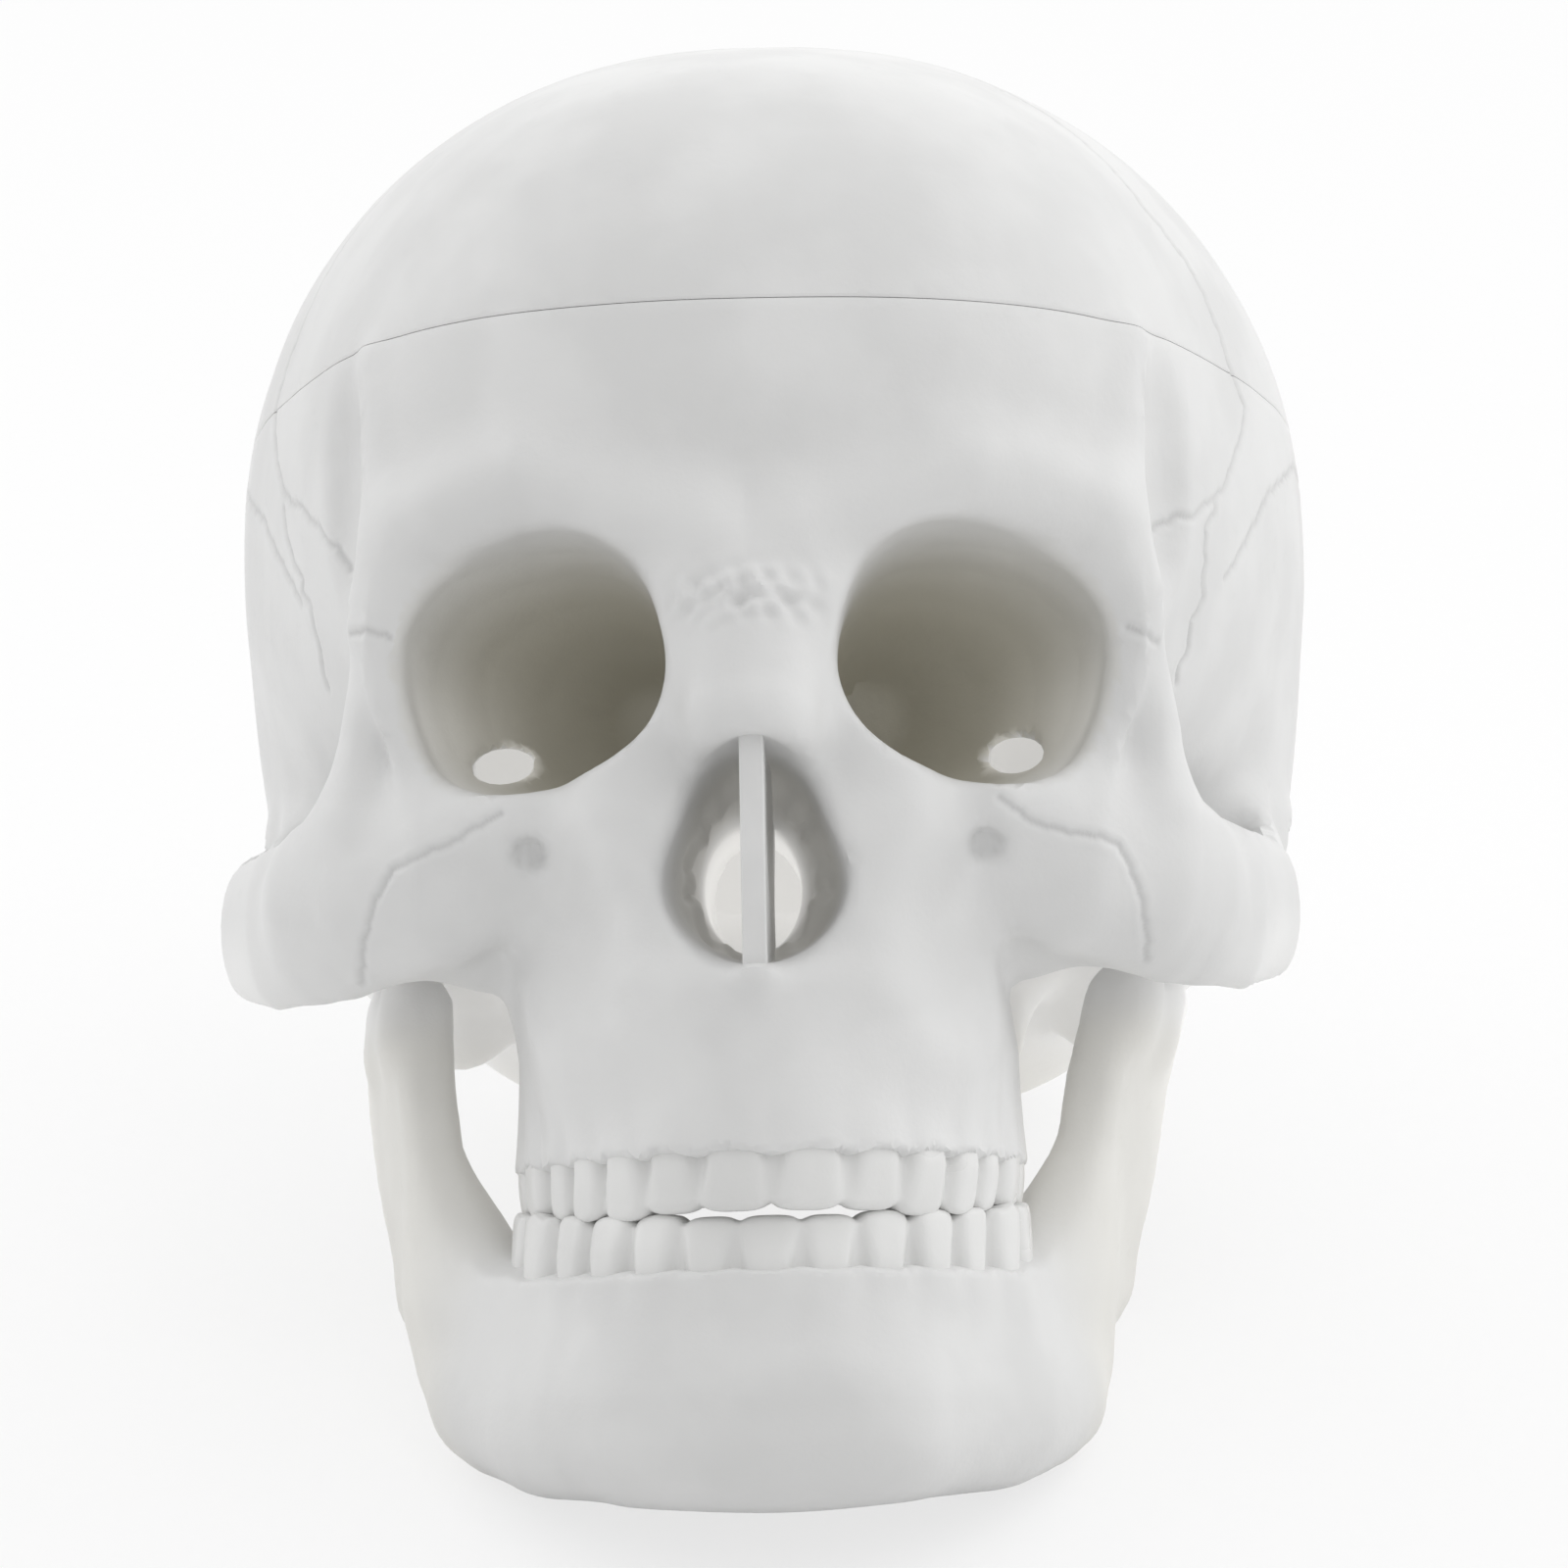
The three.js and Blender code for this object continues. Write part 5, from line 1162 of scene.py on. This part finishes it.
def sawn(bm, side, pegs):
    """Keeps what lies on one side of the saw cut (1 above, -1 below), and closes the
    rim round the bores of the pegs."""
    height = CUT_HEIGHT + side * SEAM / 2
    for beyond, clears in ((CHAMFER_HEIGHT, False), (0, True)):
        bmesh.ops.bisect_plane(
            bm, geom=list(bm.verts) + list(bm.edges) + list(bm.faces), dist=0.08,
            plane_co=(0, 0, height + side * beyond), plane_no=(0, 0, -side),
            clear_outer=clears)
    rim = [edge for edge in bm.edges if edge.is_boundary]
    for vert in {vert for edge in rim for vert in edge.verts}:
        vert.co -= Vector((vert.normal.x, vert.normal.y, 0)) * CHAMFER_WIDTH
        vert.co.z = height
    bores = []
    turns = np.arange(BORE_SIDES) * 2 * math.pi / BORE_SIDES
    round_bore = np.stack([np.cos(turns), np.sin(turns)], 1) * BORE_RADIUS
    for x, y, _ in pegs:
        ring = [bm.verts.new((x + dx, y + dy, height)) for dx, dy in round_bore]
        bores += [bm.edges.new((a, b)) for a, b in zip(ring, ring[1:] + ring[:1])]
    filled = bmesh.ops.triangle_fill(bm, edges=rim + bores, normal=(0, 0, -side))
    for face in filled["geom"]:
        if isinstance(face, bmesh.types.BMFace):
            face.normal_update()
            if face.normal.z * side > 0:
                face.normal_flip()
    added = bmesh.ops.extrude_edge_only(bm, edges=bores)["geom"]
    bottom = [item for item in added if isinstance(item, bmesh.types.BMVert)]
    bmesh.ops.translate(bm, verts=bottom, vec=(0, 0, side * BORE_DEPTHS[side]))
    ends = [edge for edge in added if isinstance(edge, bmesh.types.BMEdge) and edge.is_boundary]
    bmesh.ops.holes_fill(bm, edges=ends)
    bmesh.ops.recalc_face_normals(bm, faces=list(bm.faces))


# Metal fittings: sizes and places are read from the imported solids

TIP_SLICE = 0.01 * MM
HEAD_OVER_SHANK = 1.3


def turned_solid(node, axis):
    """A screw's own sizes, in metres, read from its CAD solid: the point that its middle
    line runs through, its low and high ends along it, the radii of its shank and head,
    and where the head starts."""
    axis = np.array(axis, float) / np.linalg.norm(axis)
    at = coordinates(frame["nodes"][node].data)
    side = np.cross(axis, (0, 0.6, 0.8))
    side /= np.linalg.norm(side)
    centre = np.zeros(3)
    for way in (side, np.cross(axis, side)):
        centre += way * ((at @ way).min() + (at @ way).max()) / 2
    along = at @ axis
    radius = np.linalg.norm(at - centre - along[:, None] * axis, axis=1)
    shank = radius[along < along.min() + TIP_SLICE].max()
    under = along[radius > shank * HEAD_OVER_SHANK].min()
    return {
        "centre": Vector(centre), "axis": Vector(axis), "low": along.min(), "high": along.max(),
        "shank": shank, "head": radius.max(), "under": under}


def stood_along(piece, centre, axis):
    """Lays a piece that was modelled up the Z axis along another axis, in its mesh."""
    turn = Vector((0, 0, 1)).rotation_difference(Vector(axis)).to_matrix().to_4x4()
    piece.data.transform(Matrix.Translation(Vector(centre)) @ turn)
    piece.data.update()


def modifier_applied(piece, kind, **settings):
    active(piece)
    modifier = piece.modifiers.new(kind.title(), kind)
    for key, given in settings.items():
        setattr(modifier, key, given)
    bpy.ops.object.modifier_apply(modifier=modifier.name)


def edges_broken(piece, width, segments=3):
    """Rounds the sharp edges of a piece by a width in millimetres."""
    modifier_applied(
        piece, "BEVEL", width=width * MM, segments=segments, limit_method="ANGLE",
        angle_limit=math.radians(50))


def place_applied():
    bpy.ops.object.transform_apply(location=True, rotation=True, scale=True)


def faces_selected(test):
    """Selects the faces in edit mode whose middle and normal pass a test."""
    bpy.ops.mesh.select_mode(type="FACE")
    bpy.ops.mesh.select_all(action="DESELECT")
    mesh = bpy.context.object.data
    bm = bmesh.from_edit_mesh(mesh)
    for face in bm.faces:
        face.select_set(test(face.calc_center_median(), face.normal))
    bmesh.update_edit_mesh(mesh)


def raised(height, width):
    """Extrudes the selected cap upwards and resizes it."""
    bpy.ops.mesh.extrude_region_move(TRANSFORM_OT_translate={"value": (0, 0, height)})
    bpy.ops.transform.resize(value=(width, width, 1))


RIM_CHAMFER = 0.94
HEAD_RISES = ((0.08, 1 / RIM_CHAMFER), (0.34, 1), (0.28, 0.93), (0.19, 0.84), (0.11, 0.66))
RECESS = (1.15, 0.27, 0.95)


def pan_head_screw(size):
    """A screw up the Z axis: a shank, a domed head with a flat rim and a cross recess."""
    tall = size["high"] - size["under"]
    deselected()
    bpy.ops.mesh.primitive_cylinder_add(
        vertices=32, radius=size["shank"], depth=size["under"] - size["low"],
        location=(0, 0, (size["low"] + size["under"]) / 2))
    screw = bpy.context.object
    place_applied()
    bpy.ops.object.mode_set(mode="EDIT")
    faces_selected(lambda middle, normal: normal.z > 0.9)
    raised(0, size["head"] / size["shank"] * RIM_CHAMFER)
    for height, width in HEAD_RISES:
        raised(tall * height, width)
    bpy.ops.object.mode_set(mode="OBJECT")
    for turn in (0, math.pi / 2):
        deselected()
        bpy.ops.mesh.primitive_cube_add(
            size=1, location=(0, 0, size["high"]), rotation=(0, 0, turn),
            scale=np.array(RECESS) * (size["head"], size["head"], tall))
        slot = bpy.context.object
        place_applied()
        modifier_applied(screw, "BOOLEAN", object=slot, operation="DIFFERENCE", solver="EXACT")
        bpy.data.objects.remove(slot)
    edges_broken(screw, 0.08, 2)
    return screw


SPRING_WIRE = 0.45 * MM
SPRING_EYE = 1.9 * MM
SPRING_COIL = 2.2 * MM
SPRING_TURNS = 6
SPRING_PITCH = 1.4 * MM
SPRING_ALONG_SCREW = 7.4 * MM


def spring_path(length):
    """The middle line of a spring's wire, from a loop about its lower screw, up through
    the coil, to a loop about the upper one. z runs up the coil from the lower screw."""
    start = (length - SPRING_TURNS * SPRING_PITCH) / 2
    turns = np.linspace(-2.3, math.pi / 2, 26)
    eye = np.stack([0 * turns, SPRING_EYE * np.sin(turns), -SPRING_EYE * np.cos(turns)], 1)
    leg = np.array([(0, SPRING_COIL, start * share) for share in (0.55, 0.8)])
    spin = np.linspace(0, SPRING_TURNS * 2 * math.pi, SPRING_TURNS * 24 + 1)
    coil = np.stack([
        SPRING_COIL * np.sin(spin), SPRING_COIL * np.cos(spin),
        start + (length - 2 * start) * spin / spin[-1]], 1)
    lower = np.concatenate([eye, leg])
    upper = (lower * (1, 1, -1) + (0, 0, length))[::-1]
    return np.concatenate([lower, coil, upper])


# Settings that a user would change

def colour_setting(name, description, default):
    return bpy.props.FloatVectorProperty(
        name=name, description=description, subtype="COLOR", size=3, min=0, max=1,
        default=default)


def roughness_setting(name, description, default):
    return bpy.props.FloatProperty(
        name=name, description=description, subtype="FACTOR", min=0, max=1, default=default)


def length_setting(name, description, default, low, high):
    """A length, with its default and its bounds in millimetres."""
    return bpy.props.FloatProperty(
        name=name, description=description, unit="LENGTH", default=default * MM,
        min=low * MM, max=high * MM, precision=4)


class SkullFinishes(bpy.types.PropertyGroup):
    bone_colour: colour_setting(
        "Bone colour", "Base colour of the bone-white plastic", (0.75, 0.75, 0.745))
    tooth_colour: colour_setting("Tooth colour", "Base colour of the teeth", (0.78, 0.78, 0.77))
    steel_colour: colour_setting(
        "Steel colour", "Base colour of the screws, pegs, hooks and springs", (0.5, 0.51, 0.52))
    bone_roughness: roughness_setting(
        "Bone roughness", "Roughness of the bone-white plastic", 0.42)
    tooth_roughness: roughness_setting("Tooth roughness", "Roughness of the teeth", 0.3)


class SkullSizes(bpy.types.PropertyGroup):
    bone_cell: length_setting(
        "Bone detail", "Size of the faces that the bones are modelled with", 2.15, 1, 4)
    tooth_cell: length_setting(
        "Tooth detail", "Size of the faces that the teeth are modelled with", 0.5, 0.3, 2)
    suture_depth: length_setting(
        "Suture depth", "How deep the sutures are cut into the bones", 0.3, 0, 1)
    unevenness: length_setting(
        "Unevenness", "How far the bones' surface swells and sinks", 0.12, 0, 0.5)


class SkullOperator:
    """What the operators share: the three finishes, and how a piece is handed over."""
    bl_options = {"REGISTER", "UNDO"}

    def finish(self, context, slot):
        made = bpy.data.materials.get(f"{slot}_finish")
        if made:
            return made
        look = context.scene.skull_finishes
        if slot == "steel":
            return plated_steel(f"{slot}_finish", tuple(look.steel_colour), STEEL_ROUGHNESS)
        kind = "tooth" if slot == "tooth_plastic" else "bone"
        return moulded_plastic(
            f"{slot}_finish", tuple(getattr(look, f"{kind}_colour")),
            getattr(look, f"{kind}_roughness"))

    def finished(self, context, piece, slot, body, node, angle=40):
        """Smooths, coats and mounts a piece that stands for a CAD node. A piece that
        bends between two bodies is given no body here."""
        active(piece)
        bpy.ops.object.shade_smooth_by_angle(angle=math.radians(angle))
        piece.data.materials.clear()
        piece.data.materials.append(self.finish(context, slot))
        if body:
            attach(piece, body)
        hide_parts(node)


class SKULL_OT_cranium(SkullOperator, bpy.types.Operator):
    """Model the cranium and saw it into its base and its cap"""
    bl_idname = "skull.cranium"
    bl_label = "Cranium"

    def execute(self, context):
        sizes = context.scene.skull_sizes
        whole = bone(
            mirrored(fixed_skull), (-84, -112, -56), (84, 96, 118), sizes.bone_cell / MM,
            sizes.unevenness / MM, [strung(points, wave) for wave, points in SUTURES.values()],
            sizes.suture_depth / MM, FINE_IN_SKULL)
        pegs = peg_places()
        for side, body in ((-1, "base"), (1, "cap")):
            part = whole.copy()
            sawn(part, side, pegs)
            self.finished(
                context, bone_object(part, f"{body}_bone"), "bone_plastic", body,
                f"skull_{body}")
        whole.free()
        return {"FINISHED"}


class SKULL_OT_lower_jaw(SkullOperator, bpy.types.Operator):
    """Model the lower jaw"""
    bl_idname = "skull.lower_jaw"
    bl_label = "Lower jaw"

    def execute(self, context):
        sizes = context.scene.skull_sizes
        jaw = bone(
            mirrored(lower_jaw, jaw_stray), (-66, -100, -92), (66, 4, 4),
            sizes.bone_cell * JAW_CELL_SHARE / MM, sizes.unevenness / MM,
            fine=[by_gum(LOWER_GUM_Z)])
        self.finished(
            context, bone_object(jaw, "jaw_bone"), "bone_plastic", "jaw", "mandible")
        return {"FINISHED"}


class SKULL_OT_teeth(SkullOperator, bpy.types.Operator):
    """Model the upper and lower rows of teeth"""
    bl_idname = "skull.teeth"
    bl_label = "Teeth"

    def execute(self, context):
        cell = context.scene.skull_sizes.tooth_cell / MM
        rows = (
            ("upper", UPPER_ARCH, UPPER_TEETH, UPPER_GUM_Z, BITE_Z, "base"),
            ("lower", LOWER_ARCH, LOWER_TEETH, LOWER_GUM_Z, BITE_Z - BITE_GAP, "jaw"))
        for name, arch, teeth, gum_z, edge_z, body in rows:
            low_z, high_z = sorted((gum_z - math.copysign(5, edge_z - gum_z), edge_z))
            reach = arch["half_width"] + 8
            row = bone(
                mirrored(tooth_row(arch, teeth, gum_z, edge_z), teeth_stray),
                (-reach, arch["back_y"] - arch["depth"] - 8, low_z - 2),
                (reach, arch["back_y"] + 16, high_z + 2), cell, TOOTH_UNEVENNESS)
            self.finished(
                context, bone_object(row, f"{name}_tooth_row"), "tooth_plastic", body,
                f"{name}_teeth", angle=55)
        return {"FINISHED"}


class SKULL_OT_septum(SkullOperator, bpy.types.Operator):
    """Model the plate that stands in the nose"""
    bl_idname = "skull.septum"
    bl_label = "Nasal septum"

    def execute(self, context):
        at = in_skull(coordinates(frame["nodes"]["nasal_septum"].data))
        low, high = at.min(0), at.max(0) + (0, 0, 1.2)
        deselected()
        bpy.ops.mesh.primitive_cube_add(size=1, location=(low + high) / 2, scale=high - low)
        plate = bpy.context.object
        plate.name = plate.data.name = "septum_plate"
        place_applied()
        bpy.ops.object.mode_set(mode="EDIT")
        bpy.ops.mesh.select_all(action="SELECT")
        bpy.ops.mesh.subdivide(number_cuts=11)
        bpy.ops.object.mode_set(mode="OBJECT")
        points = coordinates(plate.data)
        sway = undulation(points * (0, 1, 1), 14, 5)
        points[:, 0] += 0.25 * sway * smooth_step(points[:, 1], low[1] + 1, low[1] + 12)
        points[:, 1] += 0.3 * sway * (points[:, 1] < low[1] + 0.01)
        plate.data.vertices.foreach_set("co", in_row(points).ravel())
        edges_broken(plate, 0.35)
        self.finished(context, plate, "bone_plastic", "base", "nasal_septum")
        return {"FINISHED"}


class SKULL_OT_pegs(SkullOperator, bpy.types.Operator):
    """Model the three pegs that seat the cap"""
    bl_idname = "skull.pegs"
    bl_label = "Cap pegs"

    def execute(self, context):
        first = None
        for node in PEGS:
            at = in_skull(coordinates(frame["nodes"][node].data))
            low, high = at.min(0), at.max(0)
            if first is None:
                first = self.peg((high - low)[:2].max() / 2 * MM, (high[2] - low[2]) * MM)
            peg = copied(first, f"{node}_turned")
            stood_along(peg, in_row((low + high) / 2), SKULL_UP)
            self.finished(context, peg, "steel", "base", node)
        bpy.data.objects.remove(first)
        return {"FINISHED"}

    def peg(self, radius, length):
        deselected()
        bpy.ops.mesh.primitive_cylinder_add(vertices=28, radius=radius, depth=length)
        peg = bpy.context.object
        bpy.ops.object.mode_set(mode="EDIT")
        faces_selected(lambda middle, normal: abs(normal.z) > 0.9)
        bpy.ops.mesh.bevel(offset=radius * 0.3, segments=3)
        faces_selected(lambda middle, normal: normal.z > 0.99)
        bpy.ops.mesh.inset(thickness=radius * 0.25)
        bpy.ops.transform.translate(value=(0, 0, -radius * 0.06))
        bpy.ops.object.mode_set(mode="OBJECT")
        return peg


class SKULL_OT_screws(SkullOperator, bpy.types.Operator):
    """Model the eight pan-head screws"""
    bl_idname = "skull.screws"
    bl_label = "Screws"

    def execute(self, context):
        kinds = {
            "spring_screw_upper": "base", "spring_screw_lower": "jaw",
            "hook_pivot_screw": "base", "catch_screw": "cap"}
        for kind, body in kinds.items():
            first = None
            for side, way in SIDES.items():
                axis = (way, 0, 0) if kind.startswith("spring") else HOOK_OUT[side]
                size = turned_solid(f"{kind}_{side}", axis)
                if first is None:
                    first, first_low = pan_head_screw(size), size["low"]
                screw = copied(first, f"{kind}_{side}_turned")
                stood_along(
                    screw, size["centre"] + size["axis"] * (size["low"] - first_low), axis)
                self.finished(context, screw, "steel", body, f"{kind}_{side}", angle=35)
            bpy.data.objects.remove(first)
        return {"FINISHED"}


class SKULL_OT_hooks(SkullOperator, bpy.types.Operator):
    """Model the two flat hooks, with their edges broken"""
    bl_idname = "skull.hooks"
    bl_label = "Cap hooks"

    def execute(self, context):
        for side in SIDES:
            node = f"cap_hook_{side}"
            hook = copied(frame["nodes"][node], f"{node}_pressed")
            active(hook)
            bpy.ops.object.mode_set(mode="EDIT")
            bpy.ops.mesh.select_all(action="SELECT")
            bpy.ops.mesh.remove_doubles(threshold=1e-6)
            bpy.ops.mesh.dissolve_limited(angle_limit=math.radians(2))
            bpy.ops.object.mode_set(mode="OBJECT")
            edges_broken(hook, 0.16)
            self.finished(context, hook, "steel", f"{side}_hook", node, angle=35)
        return {"FINISHED"}


class SKULL_OT_springs(SkullOperator, bpy.types.Operator):
    """Model the two coil springs that hold the jaw up"""
    bl_idname = "skull.springs"
    bl_label = "Jaw springs"

    def execute(self, context):
        for side, way in SIDES.items():
            ends = []
            for level in ("lower", "upper"):
                low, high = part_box(f"spring_screw_{level}_{side}")
                tip = low.x if way > 0 else high.x
                ends.append(Vector((
                    tip + way * SPRING_ALONG_SCREW, (low.y + high.y) / 2, (low.z + high.z) / 2)))
            spring = self.spring(*ends, way, f"jaw_spring_{side}_wound")
            self.finished(context, spring, "steel", None, f"jaw_spring_{side}")
            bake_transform(spring)
        return {"FINISHED"}

    def spring(self, bottom, top, way, name):
        run = top - bottom
        along = run.normalized()
        across = along.cross(Vector((way, 0, 0))).normalized() * way
        out = across.cross(along).normalized() * way
        path = spring_path(run.length)
        curve = bpy.data.curves.new(name, "CURVE")
        curve.dimensions = "3D"
        curve.bevel_depth = SPRING_WIRE
        curve.bevel_resolution = 3
        curve.use_fill_caps = True
        line = curve.splines.new("POLY")
        line.points.add(len(path) - 1)
        for point, (x, y, z) in zip(line.points, path):
            place = bottom + out * (x * way) + across * y + along * z
            point.co = (*place, 1)
        active(linked(name, curve))
        bpy.ops.object.convert(target="MESH")
        return bpy.context.object


LAMPS = {
    "left_light": ((-1.0, 0.25, 0.55), 0.9, 1.7), "right_light": ((1.0, 0.25, 0.55), 0.9, 1.7),
    "front_light": ((0.4, -0.55, 1.28), 0.3, 0.7), "back_light": ((0, 1.3, 0.25), 1.2, 0.8),
    "top_light": ((0.1, 0.1, 1.3), 0.9, 0.8)}
LIT_AT = Vector((0, 0, 0.08))
PAPER, PAPER_FIBRES = (0.9, 0.9, 0.9), (0.87, 0.87, 0.87)
PAPER_GLOW = 0.72
WHITE = (1, 1, 1, 1)

# The photo's camera, in the skull's frame: how it is turned (degrees), the point that the
# turns go round and where it stands from there (mm), and its lens, as the distance at
# which a pixel of the photo is one unit wide
CAMERA_PITCH, CAMERA_ROLL, CAMERA_YAW = (math.radians(turn) for turn in (-7.5, -1.1, -1.7))
TURNED_ABOUT = np.array([0, -20, 10])
CAMERA_STANDS = np.array([1.7, -750, -2.2])
FOCAL_PIXELS, PHOTO_PIXELS = 5662, 1600
SENSOR_WIDTH = 36


class SKULL_OT_studio(SkullOperator, bpy.types.Operator):
    """Set the floor, the lights and the camera"""
    bl_idname = "skull.studio"
    bl_label = "Studio"

    def execute(self, context):
        self.floor()
        self.world(context.scene)
        for name, (place, size, power) in LAMPS.items():
            self.lamp(name, place, size, power)
        self.camera(context.scene)
        context.scene.view_settings.view_transform = "Standard"
        return {"FINISHED"}

    def floor(self):
        """White paper that glows a little to the camera, so that it fades into the room."""
        deselected()
        bpy.ops.mesh.primitive_plane_add(size=8)
        floor = bpy.context.object
        floor.name = "studio_floor"
        paper = Finish("floor_paper", PAPER, 0.8)
        paper.set(paper.surface, {
            "Base Color": paper.tinted(PAPER, PAPER_FIBRES, paper.noise(3, 4))})
        seen = Value(paper, paper.node("ShaderNodeLightPath").outputs["Is Camera Ray"])
        glow = paper.node("ShaderNodeEmission", None, {"Color": WHITE, "Strength": 1})
        mix = paper.node("ShaderNodeMixShader", None, {
            0: seen * PAPER_GLOW, 1: paper.surface.outputs[0], 2: glow.outputs[0]})
        paper.set(paper.tree.nodes["Material Output"], {"Surface": mix.outputs[0]})
        floor.data.materials.append(paper.material)

    def world(self, scene):
        """A soft white room, brighter behind the skull than in front of it."""
        scene.world = bpy.data.worlds.new("white_room")
        scene.world.use_nodes = True
        room = Shading(scene.world.node_tree)
        room.tree.nodes.clear()
        way = room.node("ShaderNodeSeparateXYZ", None, {
            0: room.node("ShaderNodeTexCoord").outputs["Generated"]})
        across, back, up = (Value(room, socket) for socket in way.outputs)
        path = room.node("ShaderNodeLightPath").outputs
        seen = sum(
            Value(room, path[f"Is {kind} Ray"]) for kind in ("Camera", "Glossy", "Transmission"))
        soft = room.node("ShaderNodeBackground", None, {
            "Color": WHITE, "Strength": across * 0.13 + back * 0.38 + up * 0.06 + 0.86})
        white = room.node("ShaderNodeBackground", None, {"Color": WHITE})
        mix = room.node("ShaderNodeMixShader", None, {
            0: seen, 1: soft.outputs[0], 2: white.outputs[0]})
        room.node("ShaderNodeOutputWorld", None, {"Surface": mix.outputs[0]})

    def lamp(self, name, place, size, power):
        light = bpy.data.lights.new(name, "AREA")
        light.size, light.energy = size, power
        lamp = linked(name, light)
        lamp.location = place
        lamp.rotation_euler = (LIT_AT - Vector(place)).to_track_quat("-Z", "Y").to_euler()

    def camera(self, scene):
        view = np.array(
            Matrix.Rotation(CAMERA_ROLL, 3, "Y") @ Matrix.Rotation(CAMERA_PITCH, 3, "X")
            @ Matrix.Rotation(CAMERA_YAW, 3, "Z"))
        lens = bpy.data.cameras.new("photo_camera")
        lens.sensor_width = SENSOR_WIDTH
        lens.lens = SENSOR_WIDTH * FOCAL_PIXELS / PHOTO_PIXELS
        lens.clip_start, lens.clip_end = 0.05, 50
        place = LAID_BACK @ (CAMERA_STANDS @ view + TURNED_ABOUT) + STANDING_AT
        right, ahead, up = (LAID_BACK @ (way @ view) for way in np.eye(3))
        turn = Matrix([[right[n], up[n], -ahead[n]] for n in range(3)])
        scene.camera = linked("photo_camera", lens)
        scene.camera.matrix_world = Matrix.Translation(Vector(place * MM)) @ turn.to_4x4()


class SKULL_PT_parts(bpy.types.Panel):
    """The skull's pieces, in the order in which they are modelled"""
    bl_label = "Human Skull Model"
    bl_idname = "SKULL_PT_parts"
    bl_space_type = "VIEW_3D"
    bl_region_type = "UI"
    bl_category = "Skull"

    def draw(self, context):
        for group in (context.scene.skull_sizes, context.scene.skull_finishes):
            box = self.layout.box()
            for name in group.__annotations__:
                box.prop(group, name)
        for operator in OPERATORS:
            self.layout.operator(operator.bl_idname)


OPERATORS = (
    SKULL_OT_studio, SKULL_OT_cranium, SKULL_OT_lower_jaw, SKULL_OT_teeth, SKULL_OT_septum,
    SKULL_OT_pegs, SKULL_OT_screws, SKULL_OT_hooks, SKULL_OT_springs)
CLASSES = (SkullSizes, SkullFinishes, *OPERATORS, SKULL_PT_parts)


def register():
    for each in CLASSES:
        bpy.utils.register_class(each)
    bpy.types.Scene.skull_sizes = bpy.props.PointerProperty(type=SkullSizes)
    bpy.types.Scene.skull_finishes = bpy.props.PointerProperty(type=SkullFinishes)


def unregister():
    del bpy.types.Scene.skull_finishes
    del bpy.types.Scene.skull_sizes
    for each in reversed(CLASSES):
        bpy.utils.unregister_class(each)


def main():
    register()
    bpy.ops.skull.studio()
    bpy.ops.skull.cranium()
    bpy.ops.skull.lower_jaw()
    bpy.ops.skull.teeth()
    bpy.ops.skull.septum()
    bpy.ops.skull.pegs()
    bpy.ops.skull.screws()
    bpy.ops.skull.hooks()
    bpy.ops.skull.springs()


if __name__ == "__main__":
    main()
